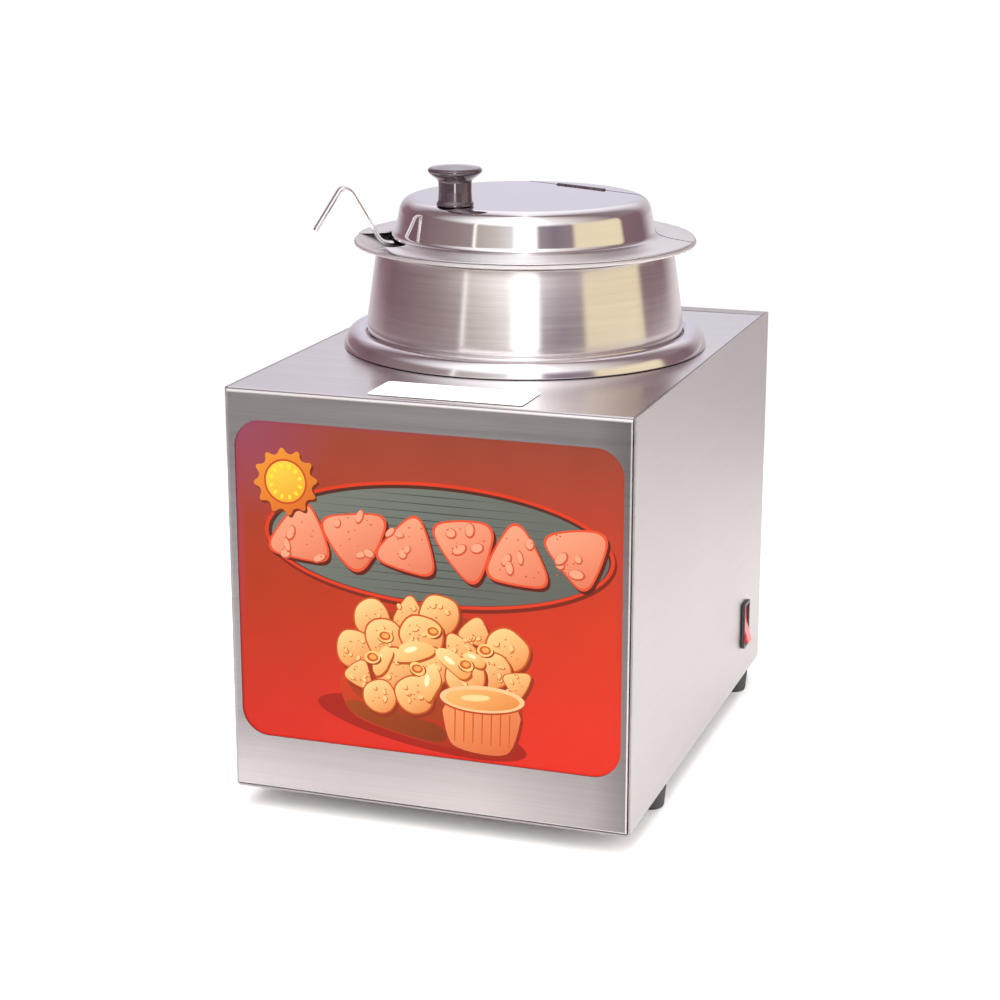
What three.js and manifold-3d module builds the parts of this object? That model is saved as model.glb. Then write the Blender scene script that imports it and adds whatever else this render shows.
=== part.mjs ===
// Countertop nacho cheese dispenser: a stainless cabinet with a backlit front sign, a water bath well
// in its top, and a lift-out cheese pot with a hinged lid and a hooked ladle.
// Millimetres, +Z up, front towards -Y. Run through the default export, a THREE.Group of named meshes.

import * as THREE from 'three';
import { mergeVertices } from 'three/addons/utils/BufferGeometryUtils.js';
import Module from 'manifold-3d';

const wasm = await Module();
wasm.setup();

// ---- driving dimensions -------------------------------------------------------------------------

const cabinetWidth = 248;
const cabinetDepth = 334;
const cabinetHeight = 248;
const footHeight = 14;
const sheet = 1.2;
const gap = 0.4;

const floorZ = footHeight;
const deckZ = footHeight + cabinetHeight;
const halfWidth = cabinetWidth / 2;
const innerHalf = halfWidth - sheet - gap;

const potSetback = 182;
const roundSteps = 28;
const smallSteps = 12;

const signWindow = { halfWidth: 118.2, bottom: 35.2, top: 229.9, corner: 17 };
const lidTurn = THREE.MathUtils.degToRad(-25);
const ladleBearing = THREE.MathUtils.degToRad(211);
const hingeOffset = 52;
const hingePinZ = 92.8;
const hingeHalf = 19.8;
const knobOffset = 62;

const footPlaces = { x: 113.5, front: 84, rear: 303 };
const rocker = { y: 286, z: 40, pivotDepth: 1.5, halfHeight: 13, halfWidth: 5.1, tilt: 10 };
const gland = { x: 84, z: 38, boreRadius: 4.5, proud: 8 };
const rockerProud = 4.9;

// ---- materials ----------------------------------------------------------------------------------

const finishes = {
  brushed: { color: 0xb7b0ae, roughness: 0.38, metalness: 1 },
  polished: { color: 0xd5d0d4, roughness: 0.1, metalness: 1 },
  zinc: { color: 0x9a9a98, roughness: 0.5, metalness: 1 },
  phenolic: { color: 0x2a2226, roughness: 0.25, metalness: 0 },
  rubber: { color: 0x2c2c2e, roughness: 0.8, metalness: 0 },
  sign: { color: 0xd83a20, roughness: 0.35, metalness: 0 },
  opal: { color: 0xf2f0ea, roughness: 0.6, metalness: 0 },
  white: { color: 0xf4f4f2, roughness: 0.7, metalness: 0 },
  redPlastic: { color: 0xc81f26, roughness: 0.3, metalness: 0 },
  blackPlastic: { color: 0x1f1c20, roughness: 0.45, metalness: 0 },
  wool: { color: 0xc9b98a, roughness: 1, metalness: 0 },
  ceramic: { color: 0xe6dfd2, roughness: 0.6, metalness: 0 },
  bulb: { color: 0xfff2d0, roughness: 0.1, metalness: 0 },
};

// ---- geometry helpers ---------------------------------------------------------------------------

// Merges shared vertices, drops zero-area triangles and turns the faces outward.
function closed(geometry) {
  let source = geometry.clone();
  source.deleteAttribute('normal');
  source.deleteAttribute('uv');
  source = mergeVertices(source, 1e-4);
  const kept = [];
  const index = source.index.array;
  for (let i = 0; i < index.length; i += 3) {
    const [a, b, c] = [index[i], index[i + 1], index[i + 2]];
    if (a !== b && b !== c && c !== a) kept.push(a, b, c);
  }
  source.setIndex(kept);
  if (signedVolume(source) < 0) {
    for (let i = 0; i < kept.length; i += 3) [kept[i], kept[i + 1]] = [kept[i + 1], kept[i]];
    source.setIndex(kept);
  }
  return source;
}

function signedVolume(geometry) {
  const place = geometry.attributes.position;
  const index = geometry.index.array;
  const corners = [new THREE.Vector3(), new THREE.Vector3(), new THREE.Vector3()];
  let total = 0;
  for (let i = 0; i < index.length; i += 3) {
    corners.forEach((corner, k) => corner.fromBufferAttribute(place, index[i + k]));
    total += corners[0].dot(corners[1].cross(corners[2])) / 6;
  }
  return total;
}

function solidOf(geometry) {
  const source = closed(geometry);
  const vertProperties = new Float32Array(source.attributes.position.array);
  const triVerts = new Uint32Array(source.index.array);
  return new wasm.Manifold(new wasm.Mesh({ numProp: 3, vertProperties, triVerts }));
}

function geometryOf(solid) {
  const mesh = solid.getMesh();
  const geometry = new THREE.BufferGeometry();
  const points = new THREE.BufferAttribute(new Float32Array(mesh.vertProperties), 3);
  geometry.setAttribute('position', points);
  geometry.setIndex(new THREE.BufferAttribute(new Uint32Array(mesh.triVerts), 1));
  return geometry;
}

// Joins the first list of geometries and cuts the second list away.
function carve(parts, cuts = []) {
  let solid = solidOf(parts[0]);
  for (const part of parts.slice(1)) solid = solid.add(solidOf(part));
  for (const cut of cuts) solid = solid.subtract(solidOf(cut));
  return geometryOf(solid);
}

function box([x0, x1], [y0, y1], [z0, z1]) {
  const geometry = new THREE.BoxGeometry(x1 - x0, y1 - y0, z1 - z0);
  return geometry.translate((x0 + x1) / 2, (y0 + y1) / 2, (z0 + z1) / 2);
}

// A revolved solid about +Z from outline points given as [radius, height].
function revolve(points, steps = roundSteps) {
  const outline = points.map((p) => (p.isVector2 ? p.clone() : new THREE.Vector2(p[0], p[1])));
  if (outline[0].x > 0) outline.push(outline[0].clone());
  return closed(new THREE.LatheGeometry(outline, steps).rotateX(Math.PI / 2));
}

function drum(radius, z0, z1, steps = smallSteps) {
  return revolve([[0, z0], [radius, z0], [radius, z1], [0, z1]], steps);
}

// A washer-like solid about +Z.
function ring(inner, outer, z0, z1, steps = roundSteps) {
  return revolve([[inner, z0], [outer, z0], [outer, z1], [inner, z1]], steps);
}

function hexagon(radius, z0, z1) {
  return drum(radius, z0, z1, 6);
}

// A path of straight stretches and rounded corners: each point is [x, y] or [x, y, cornerRadius].
function roundedPath(points, divisions = 2) {
  const path = new THREE.Path();
  path.moveTo(points[0][0], points[0][1]);
  for (let i = 1; i < points.length - 1; i += 1) {
    const corner = new THREE.Vector2(points[i][0], points[i][1]);
    const radius = points[i][2] ?? 0;
    const before = new THREE.Vector2(points[i - 1][0], points[i - 1][1]).sub(corner).setLength(radius);
    const after = new THREE.Vector2(points[i + 1][0], points[i + 1][1]).sub(corner).setLength(radius);
    if (radius > 0) {
      path.lineTo(corner.x + before.x, corner.y + before.y);
      path.quadraticCurveTo(corner.x, corner.y, corner.x + after.x, corner.y + after.y);
    } else {
      path.lineTo(corner.x, corner.y);
    }
  }
  const last = points[points.length - 1];
  path.lineTo(last[0], last[1]);
  return path.getPoints(divisions);
}

// The closed outline of a strip of even thickness that follows a path.
function ribbon(line, thickness) {
  const normals = [];
  for (let i = 0; i < line.length - 1; i += 1) {
    const along = line[i + 1].clone().sub(line[i]).normalize();
    normals.push(new THREE.Vector2(-along.y, along.x));
  }
  const sides = [[], []];
  line.forEach((point, i) => {
    const before = normals[Math.max(i - 1, 0)];
    const after = normals[Math.min(i, normals.length - 1)];
    const mitre = before.clone().add(after).normalize();
    const reach = thickness / 2 / mitre.dot(before);
    sides[0].push(point.clone().addScaledVector(mitre, reach));
    sides[1].unshift(point.clone().addScaledVector(mitre, -reach));
  });
  return [...sides[0], ...sides[1]];
}

// Extrudes an outline of [x, z] points along Y, from y0 to y1.
function alongY(points, y0, y1) {
  const shape = new THREE.Shape(points.map((p) => (p.isVector2 ? p : new THREE.Vector2(p[0], p[1]))));
  const geometry = new THREE.ExtrudeGeometry(shape, { depth: y1 - y0, bevelEnabled: false });
  return geometry.rotateX(Math.PI / 2).translate(0, y1, 0);
}

// Extrudes an outline of [y, z] points along X, from x0 to x1.
function alongX(points, x0, x1) {
  const shape = new THREE.Shape(points.map((p) => (p.isVector2 ? p : new THREE.Vector2(p[0], p[1]))));
  const geometry = new THREE.ExtrudeGeometry(shape, { depth: x1 - x0, bevelEnabled: false });
  return geometry.rotateX(Math.PI / 2).rotateZ(Math.PI / 2).translate(x0, 0, 0);
}

function roundedRectangle(left, right, bottom, top, corner) {
  const shape = new THREE.Shape();
  shape.moveTo(left + corner, bottom);
  shape.lineTo(right - corner, bottom);
  shape.absarc(right - corner, bottom + corner, corner, -Math.PI / 2, 0);
  shape.lineTo(right, top - corner);
  shape.absarc(right - corner, top - corner, corner, 0, Math.PI / 2);
  shape.lineTo(left + corner, top);
  shape.absarc(left + corner, top - corner, corner, Math.PI / 2, Math.PI);
  shape.lineTo(left, bottom + corner);
  shape.absarc(left + corner, bottom + corner, corner, Math.PI, Math.PI * 1.5);
  return shape.getPoints(6);
}

// Turns a solid made about +Z so that its axis lies along +Y.
function facingRear(geometry) {
  return geometry.rotateX(-Math.PI / 2);
}

function tube(points, radius, steps = 10) {
  const curve = new THREE.CatmullRomCurve3(points.map(([x, y, z]) => new THREE.Vector3(x, y, z)));
  const section = new THREE.Shape();
  section.absarc(0, 0, radius, 0, Math.PI * 2);
  const rim = new THREE.Shape(section.getSpacedPoints(6).slice(0, 6));
  return new THREE.ExtrudeGeometry(rim, { steps, extrudePath: curve, bevelEnabled: false });
}

function piece(name, geometry, finish) {
  const mesh = new THREE.Mesh(closed(geometry), new THREE.MeshStandardMaterial(finishes[finish]));
  mesh.name = name;
  return mesh;
}

function at(x, y, z, ...meshes) {
  const group = new THREE.Group();
  group.position.set(x, y, z);
  group.add(...meshes);
  return group;
}

// ---- cabinet ------------------------------------------------------------------------------------

const screwHoleRadius = 2.4;
const shankRadius = 2;
const backScrews = [[-116, 36], [116, 36], [-116, 212], [116, 212]];
const wellHoleRadius = 94;

// One sheet bent up into the floor and both side walls, with narrow flanges at the rear.
function baseChassis() {
  const middle = halfWidth - sheet / 2;
  const path = roundedPath([
    [-middle, deckZ], [-middle, floorZ + sheet / 2, 2], [middle, floorZ + sheet / 2, 2], [middle, deckZ],
  ]);
  const body = alongY(ribbon(path, sheet), 0.3, cabinetDepth);
  const flangeY = [cabinetDepth - sheet * 2 - gap, cabinetDepth - sheet - gap];
  const flanges = [-1, 1].map((side) => {
    const edges = [side * (halfWidth - 0.5), side * 109].sort((a, b) => a - b);
    return box(edges, flangeY, [floorZ + 0.5, deckZ - 16]);
  });
  const cuts = footScrewPlaces().map(([x, y]) => drum(screwHoleRadius, 10, 20).translate(x, y, 0));
  const switchCut = { y: 6.7, z: 14.9 };
  cuts.push(box(
    [halfWidth - 4, halfWidth + 4],
    [rocker.y - switchCut.y, rocker.y + switchCut.y],
    [floorZ + rocker.z - switchCut.z, floorZ + rocker.z + switchCut.z],
  ));
  for (const [x, z] of backScrews) {
    const hole = facingRear(drum(screwHoleRadius, -6, 6));
    cuts.push(hole.translate(x, cabinetDepth - sheet * 2, floorZ + z));
  }
  for (let slot = -2; slot <= 2; slot += 1) {
    cuts.push(box([slot * 22 - 3, slot * 22 + 3], [150, 214], [10, 20]));
  }
  return piece('base_chassis', carve([body, ...flanges], cuts), 'brushed');
}

// One sheet bent into the sign frame and the deck, with return flanges inside the side walls.
function frontTopCover() {
  const bend = 2;
  const frontY = sheet / 2;
  const deck = deckZ - sheet / 2;
  const path = roundedPath([
    [12, floorZ + 2.2], [frontY, floorZ + 2.2, bend], [frontY, deck, bend],
    [cabinetDepth - 14, deck, bend], [cabinetDepth - 14, deck - 12],
  ]);
  const body = alongX(ribbon(path, sheet), -innerHalf, innerHalf);
  const flanges = [];
  for (const side of [-1, 1]) {
    const edges = [side * innerHalf, side * (innerHalf - sheet)].sort((a, b) => a - b);
    flanges.push(box(edges, [0.8, 13], [floorZ + 2.2, deckZ - 1]));
    flanges.push(box(edges, [0.8, cabinetDepth - 14], [deckZ - 13, deckZ - 0.8]));
  }
  const outline = roundedRectangle(
    -signWindow.halfWidth, signWindow.halfWidth, floorZ + signWindow.bottom, floorZ + signWindow.top, signWindow.corner,
  );
  const opening = alongY(outline, -2, 4);
  const wellHole = drum(wellHoleRadius, deckZ - 5, deckZ + 5, roundSteps).translate(0, potSetback, 0);
  return piece('front_top_cover', carve([body, ...flanges], [opening, wellHole]), 'brushed');
}

function backPanel() {
  const plate = box(
    [-innerHalf, innerHalf], [cabinetDepth - sheet, cabinetDepth], [floorZ + sheet + gap, deckZ - 0.3],
  );
  const lip = box([-innerHalf, innerHalf], [cabinetDepth - 13, cabinetDepth - 0.5], [deckZ - sheet, deckZ]);
  const cuts = backScrews.map(([x, z]) => {
    return facingRear(drum(screwHoleRadius, -6, 6)).translate(x, cabinetDepth, floorZ + z);
  });
  cuts.push(facingRear(drum(8.6, -6, 6, 16)).translate(gland.x, cabinetDepth, floorZ + gland.z));
  for (const column of [-48, 48]) {
    for (let row = 0; row < 6; row += 1) {
      const z = floorZ + 120 + row * 14;
      cuts.push(box([column - 30, column + 30], [cabinetDepth - 6, cabinetDepth + 6], [z, z + 3]));
    }
  }
  return piece('back_panel', carve([plate, lip], cuts), 'brushed');
}

// A pan-head screw about +Z: the head's underside is at z = 0 and the shank goes up.
function panScrew(headRadius, headHeight, radius, length) {
  const outline = roundedPath([
    [0, -headHeight], [headRadius * 0.8, -headHeight], [headRadius, -headHeight * 0.3], [headRadius, 0],
    [radius, 0], [radius, length], [0, length],
  ]);
  return revolve(outline, 10);
}

function backPanelScrews() {
  return backScrews.map(([x, z], i) => {
    const screw = panScrew(4, 2.6, shankRadius, 9).rotateX(Math.PI / 2);
    screw.translate(x, cabinetDepth + 0.3, floorZ + z);
    return piece(`back_screw_${i + 1}`, screw, 'zinc');
  });
}

// ---- feet ---------------------------------------------------------------------------------------

function footScrewPlaces() {
  const { x, front, rear } = footPlaces;
  return [[-x, front], [x, front], [-x, rear], [x, rear]];
}

function feet() {
  const names = ['front_left', 'front_right', 'rear_left', 'rear_right'];
  const outline = roundedPath([
    [5, 0], [8, 0], [8.8, 1], [10, footHeight - 0.4], [screwHoleRadius, footHeight - 0.4],
    [screwHoleRadius, 5], [5, 5],
  ]);
  return footScrewPlaces().flatMap(([x, y], i) => {
    const foot = piece(`foot_${names[i]}`, revolve(outline, 14), 'rubber');
    const screw = piece(`foot_screw_${names[i]}`, panScrew(4.2, 2.6, shankRadius, 16), 'zinc');
    screw.position.z = 4.6;
    return [at(x, y, 0, foot, screw)];
  });
}

// ---- backlit sign -------------------------------------------------------------------------------

const signHalf = innerHalf - sheet - 0.8;
const signLow = floorZ + 22;
const signHigh = deckZ - 14.5;

function backlitSign() {
  const lens = box([-signHalf, signHalf], [sheet + 0.4, sheet + 2.4], [signLow, signHigh]);
  const opal = box([-signHalf, signHalf], [sheet + 2.8, sheet + 4.8], [signLow, signHigh]);
  const clips = [-1, 1].map((side) => {
    const name = side < 0 ? 'sign_channel_left' : 'sign_channel_right';
    const edges = [side * signHalf, side * (signHalf - 9)].sort((a, b) => a - b);
    const bar = box(edges, [sheet + 5.2, sheet + 6.4], [signLow + 2, signHigh - 2]);
    const tab = [side * (signHalf - 9), side * (signHalf - 7.8)].sort((a, b) => a - b);
    const rib = box(tab, [sheet + 5.6, sheet + 11], [signLow + 2, signHigh - 2]);
    return piece(name, carve([bar, rib]), 'zinc');
  });
  return [piece('sign_lens', lens, 'sign'), piece('sign_diffuser', opal, 'opal'), ...clips];
}

function lampCompartment() {
  const panelY = 61;
  const panelPath = roundedPath([[48, floorZ + 2.2], [panelY, floorZ + 2.2, 2], [panelY, deckZ - 16]], 2);
  const reflector = alongX(ribbon(panelPath, 1), -112, 112);
  const bracketPath = roundedPath([[22, floorZ + 2.2], [44, floorZ + 2.2, 2], [44, floorZ + 26]], 2);
  const bracket = alongX(ribbon(bracketPath, 1.2), -14, 14);
  const socket = revolve(roundedPath([
    [0, 4], [12, 4], [13.5, 8], [13.5, 26], [11, 28], [11, 20], [0, 20],
  ]), 16);
  const bulb = revolve(roundedPath([
    [0, 20.5], [9, 20.5], [9.5, 34], [15, 52, 6], [15, 66, 7], [8, 78, 4], [0, 78],
  ]), 16);
  return [
    piece('sign_reflector', reflector, 'white'),
    piece('lamp_bracket', bracket, 'zinc'),
    at(0, 29, floorZ, piece('lamp_socket', socket, 'ceramic'), piece('sign_lamp', bulb, 'bulb')),
  ];
}

// ---- water bath well (heights from the deck) ----------------------------------------------------

const wellRadius = 90;
const wellFloor = -112;

function well() {
  const trim = roundedPath([
    [92.2, 3.6], [92.2, 4.9], [99, 4.9, 1], [101.5, 10.4, 4], [110.6, 10.2, 4], [114.2, 0.4],
  ]);
  const wall = roundedPath([
    [108, 2.7], [wellRadius + 0.5, 2.7, 2], [wellRadius + 0.5, wellFloor, 8], [0, wellFloor],
  ]);
  const vessel = carve([
    revolve(ribbon(wall, 1)),
    drum(3, wellFloor - 22, wellFloor, 12),
  ]);
  return [
    piece('well_trim_ring', revolve(ribbon(trim, sheet)), 'polished'),
    piece('well_gasket', ring(97, 108, 0.4, 1.8), 'rubber'),
    piece('well_vessel', vessel, 'brushed'),
    piece('well_insulation', ring(93.5, 104, wellFloor + 4, -16, 32), 'wool'),
  ];
}

function heater() {
  const below = wellFloor - 0.9;
  const sweep = new THREE.Curve();
  sweep.getPoint = (t, target = new THREE.Vector3()) => {
    const angle = THREE.MathUtils.lerp(0.12, Math.PI * 2 - 0.12, t);
    return target.set(Math.cos(angle) * 55, Math.sin(angle) * 55, below - 4);
  };
  const section = new THREE.Shape();
  section.absarc(0, 0, 3.4, 0, Math.PI * 2);
  const rim = new THREE.Shape(section.getSpacedPoints(8).slice(0, 8));
  const element = new THREE.ExtrudeGeometry(rim, { steps: 24, extrudePath: sweep, bevelEnabled: false });
  const plateTop = below - 8;
  const plate = ring(3.6, 66, plateTop - 1.6, plateTop, 28);
  const nut = carve([hexagon(6, plateTop - 7, plateTop - 2)], [drum(3.4, plateTop - 9, plateTop)]);
  const stat = carve([drum(9, plateTop - 12, plateTop - 2.1), box([-2, 2], [-6, 6], [plateTop - 20, plateTop - 11])]);
  const limit = carve([drum(8, plateTop - 10, plateTop - 2.1), box([-2, 2], [-5, 5], [plateTop - 17, plateTop - 9])]);
  return [
    piece('heating_element', element, 'zinc'),
    piece('element_clamp_plate', plate, 'zinc'),
    piece('element_clamp_nut', nut, 'zinc'),
    at(38, 0, 0, piece('control_thermostat', stat, 'blackPlastic')),
    at(-38, 0, 0, piece('high_limit_cutout', limit, 'blackPlastic')),
  ];
}

// ---- electrical parts ---------------------------------------------------------------------------

// The rocker turns about Y: its lower half stands proud at rest and its upper half is pressed in.
function powerSwitch() {
  const shell = carve([
    box([0.3, 2.3], [-7.5, 7.5], [-16, 16]),
    box([-22, 1], [-6.4, 6.4], [-14.6, 14.6]),
    box([-30, -20], [-0.4, 0.4], [-9, -3]),
    box([-30, -20], [-0.4, 0.4], [3, 9]),
  ], [box([-13, 5], [-5.5, 5.5], [-13.9, 13.9])]);
  const { halfHeight, halfWidth: half, tilt } = rocker;
  const outline = [
    [-5, -5], [-3, 1 - halfHeight], [4.2, -halfHeight], [2.8, 0], [4.2, halfHeight], [-3, halfHeight - 1], [-5, 5],
  ];
  const button = alongY(outline, -half, half).rotateY(THREE.MathUtils.degToRad(-tilt));
  const paddle = piece('power_rocker', button, 'redPlastic');
  paddle.position.x = -rocker.pivotDepth;
  return at(halfWidth, rocker.y, floorZ + rocker.z, piece('switch_housing', shell, 'blackPlastic'), paddle);
}

function cordInlet() {
  const { boreRadius, proud } = gland;
  const bushing = facingRear(revolve(roundedPath([
    [boreRadius, -14], [8, -14], [8, 0.4], [11.5, 0.4], [11.5, 4, 1], [8, proud, 1], [boreRadius, proud],
  ]), 16));
  const nut = facingRear(carve([hexagon(12.5, -6.4, -2)], [drum(8.4, -8, 0)]));
  return at(
    gland.x, cabinetDepth, floorZ + gland.z, piece('cord_gland', bushing, 'blackPlastic'),
    piece('gland_locknut', nut, 'blackPlastic'),
  );
}

function wiring() {
  const base = floorZ + sheet + 0.4;
  const block = [box([34, 74], [300, 316], [base, base + 8])];
  for (let way = 0; way < 3; way += 1) {
    block.push(box([37 + way * 13, 45 + way * 13], [303, 313], [base + 6, base + 14]));
  }
  const leads = {
    lead_gland_to_terminals: [[84, 316, 52], [80, 309, 45], [72, 308, 38], [62, 308, 31.8]],
    lead_terminals_to_switch: [[68, 298, 22], [80, 290, 25], [89, 286, 36], [91.2, 286, 47]],
    lead_terminals_to_heater: [[40, 298, 24], [38, 270, 30], [38, 230, 70], [38, 192, 112]],
    lead_terminals_to_lamp: [[32, 308, 24], [-60, 300, 20], [-108, 240, 20], [-108, 80, 20]],
  };
  const finish = 'rubber';
  const wires = Object.entries(leads).map(([name, points]) => piece(name, tube(points, 1.6), finish));
  return [piece('terminal_block', carve(block), 'ceramic'), ...wires];
}

// A blank information plate on the deck in front of the trim ring.
function blankPlate() {
  const plate = box([-38, 56], [8, 43], [deckZ + 0.3, deckZ + 0.8]);
  return piece('blank_info_plate', plate, 'white');
}

// ---- lift-out pieces (heights from the deck) ----------------------------------------------------

function adapterCollar() {
  const path = roundedPath([[88, 6.6], [98.6, 6.6, 4], [99.4, 14, 3], [92.67, 61.3]]);
  return piece('adapter_collar', revolve(ribbon(path, sheet)), 'brushed');
}

const potRadius = 82;
const potFloor = -95;

function cheesePot() {
  const path = roundedPath([
    [106.7, 64.5], [106.8, 66.2, 0.8], [104.6, 66.2, 1], [91, 61.6, 3], [potRadius + 0.5, 57.5, 3],
    [potRadius + 0.5, 40], [80, potFloor, 9], [0, potFloor],
  ]);
  return piece('cheese_pot', revolve(ribbon(path, 1)), 'polished');
}

// Lid shapes are made with the knob towards -Y and the hinge line across the rear of the dome.
function lidShell() {
  const path = roundedPath([
    [0, 93.4], [70, 92.6], [77, 91.6, 4], [81.6, 69.6, 3], [90, 68, 4], [106.3, 67.4],
  ]);
  return revolve(ribbon(path, 0.9));
}

function ladleNotch() {
  const bearing = ladleBearing - lidTurn;
  const spread = THREE.MathUtils.degToRad(20);
  const shape = new THREE.Shape();
  shape.absarc(0, 0, 83.6, bearing - spread, bearing + spread, false);
  shape.absarc(0, 0, 120, bearing + spread, bearing - spread, true);
  const wedge = new THREE.ExtrudeGeometry(shape, { depth: 30, bevelEnabled: false, curveSegments: 5 });
  return wedge.translate(0, 0, 55);
}

// Five interleaved knuckles about the pin, with a leaf lying against the underside of the dome's top.
function hingeLeaf(side) {
  const pitch = 8;
  const slots = side < 0 ? [-1, 1] : [-2, 0, 2];
  const reach = [side * 0.9, side * 11].sort((a, b) => a - b);
  const parts = [box([-hingeHalf, hingeHalf], reach, [-1.6, -0.9])];
  const cuts = [];
  for (let slot = -2; slot <= 2; slot += 1) {
    const centre = slot * pitch;
    const barrel = drum(1.5, -3.8, 3.8).rotateY(Math.PI / 2).translate(centre, 0, 0);
    if (slots.includes(slot)) parts.push(barrel);
    else cuts.push(box([centre - 4.2, centre + 4.2], [-2.2, 2.2], [-4, 4]));
  }
  cuts.push(drum(1.1, -30, 30).rotateY(Math.PI / 2));
  const leaf = carve(parts, cuts);
  leaf.translate(0, hingeOffset, hingePinZ);
  return leaf;
}

function knob() {
  const outline = roundedPath([
    [2.6, 0.4], [11.4, 0.4], [10.4, 3.4, 2], [10.2, 17, 2], [16.5, 21, 1.2], [16, 23.2, 0.8],
    [6, 24.4], [5, 25.4], [0, 25.4], [0, 12], [2.6, 12],
  ]);
  return revolve(outline, 20);
}

function lid() {
  const everything = 130;
  const barrelGap = [hingeOffset - 1.9, hingeOffset + 1.9];
  const barrelSlot = box([-hingeHalf - 0.8, hingeHalf + 0.8], barrelGap, [88, 98]);
  const behind = box([-everything, everything], [hingeOffset - 0.5, everything], [40, 120]);
  const ahead = box([-everything, everything], [-everything, hingeOffset + 1.1], [40, 120]);
  const screwHole = drum(screwHoleRadius, 80, 110).translate(0, -knobOffset, 0);
  const front = carve([lidShell()], [behind, barrelSlot, ladleNotch(), screwHole]);
  const rear = carve([lidShell()], [ahead, barrelSlot]);
  const pin = drum(0.8, -hingeHalf, hingeHalf).rotateY(Math.PI / 2);
  pin.translate(0, hingeOffset, hingePinZ);
  const group = new THREE.Group();
  group.rotation.z = lidTurn;
  group.add(piece('lid_front', front, 'polished'), piece('lid_rear', rear, 'polished'));
  group.add(piece('hinge_leaf_front', hingeLeaf(-1), 'zinc'), piece('hinge_leaf_rear', hingeLeaf(1), 'zinc'));
  group.add(piece('hinge_pin', pin, 'zinc'));
  const screw = piece('knob_screw', panScrew(4.4, 2.4, shankRadius, 11), 'zinc');
  screw.position.set(0, -knobOffset, 91.9);
  group.add(at(0, -knobOffset, 93.1, piece('lid_knob', knob(), 'phenolic')), screw);
  return group;
}

// The strip is drawn in the upright plane through the pot's axis, x outward from the axis.
function ladle() {
  const strip = roundedPath([
    [69.8, -73], [69.8, -58, 6], [77, 56], [79.4, 66, 5], [91, 66.4, 5], [110.5, 100, 3],
    [116, 101.2, 2.5], [132.4, 75.6],
  ]);
  const handle = alongY(ribbon(strip, 2.6), -3.2, 3.2);
  const bowlPath = roundedPath([[0, -82], [15, -82, 6], [25.4, -74, 6], [25.6, -61]]);
  const bowl = revolve(ribbon(bowlPath, 0.9), 22);
  bowl.translate(42, 0, 0);
  const group = new THREE.Group();
  group.rotation.z = ladleBearing;
  group.add(piece('ladle_handle', handle, 'polished'), piece('ladle_bowl', bowl, 'polished'));
  return group;
}

// ---- assembly -----------------------------------------------------------------------------------

// The origin is on the floor, under the middle of the object's outer box.
const dispenser = new THREE.Group();
dispenser.position.set(-rockerProud / 2, -(cabinetDepth + gland.proud) / 2, 0);
dispenser.add(baseChassis(), frontTopCover(), backPanel(), ...backPanelScrews(), ...feet());
dispenser.add(...backlitSign(), ...lampCompartment(), powerSwitch(), cordInlet(), ...wiring());
dispenser.add(blankPlate());
dispenser.add(at(0, potSetback, deckZ, ...well(), ...heater(), adapterCollar(), cheesePot(), lid(), ladle()));

export default dispenser;
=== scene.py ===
# Looks for the countertop nacho cheese dispenser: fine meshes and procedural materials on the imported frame.
# Metres, +Z up, front towards -Y. Outlines are written in millimetres and scaled when the mesh is made.

import math
import random

import bmesh
import bpy
from mathutils import Matrix, Vector, geometry

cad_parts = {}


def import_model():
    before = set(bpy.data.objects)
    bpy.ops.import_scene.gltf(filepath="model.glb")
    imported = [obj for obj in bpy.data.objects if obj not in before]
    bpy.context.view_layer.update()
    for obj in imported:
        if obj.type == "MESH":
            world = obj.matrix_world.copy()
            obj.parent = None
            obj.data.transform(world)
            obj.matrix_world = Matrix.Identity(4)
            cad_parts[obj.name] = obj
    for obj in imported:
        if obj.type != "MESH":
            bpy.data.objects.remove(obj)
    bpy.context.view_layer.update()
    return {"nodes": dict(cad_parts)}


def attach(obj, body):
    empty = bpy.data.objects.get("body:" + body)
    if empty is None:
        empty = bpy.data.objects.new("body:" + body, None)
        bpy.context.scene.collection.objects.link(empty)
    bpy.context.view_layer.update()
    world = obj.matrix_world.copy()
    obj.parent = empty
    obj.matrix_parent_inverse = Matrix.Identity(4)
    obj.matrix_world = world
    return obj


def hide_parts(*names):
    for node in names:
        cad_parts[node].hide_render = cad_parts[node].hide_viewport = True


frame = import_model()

# ---- the object's dimensions, in millimetres ----

MM = 0.001
SHIFT = Vector((-2.45, -171.0, 0.0))  # from cabinet coordinates to the row frame
WIDTH, DEPTH, DECK = 248.0, 334.0, 262.0
FOOT = 14.0
SHEET = 1.2
HALF = WIDTH / 2
COVER_HALF = 122.4
POT = Vector((-2.45, 11.0, DECK))  # the pot's axis at the deck, in the row frame
LID_TURN = math.radians(-25)
LADLE_BEARING = math.radians(211)
HINGE_Y, HINGE_Z, HINGE_HALF = 52.0, 92.8, 19.8
KNUCKLE = 8.0  # from one hinge knuckle to the next
KNOB_Y = -62.0
SCREW_HOLE = 2.4
SWITCH_Y, SWITCH_Z = 286, 54  # the power switch on the right side
CORD_X, CORD_Z = 84, 52  # the cord inlet in the rear panel
BEYOND = 130.0  # reaches past every edge of the lid
AROUND = 192  # steps round the large turned pieces
BACK_SCREWS = [(-116, 50), (116, 50), (-116, 226), (116, 226)]
FEET = [("front_left", -113.5, 84), ("front_right", 113.5, 84),
        ("rear_left", -113.5, 303), ("rear_right", 113.5, 303)]

# ---- outlines ----


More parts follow.
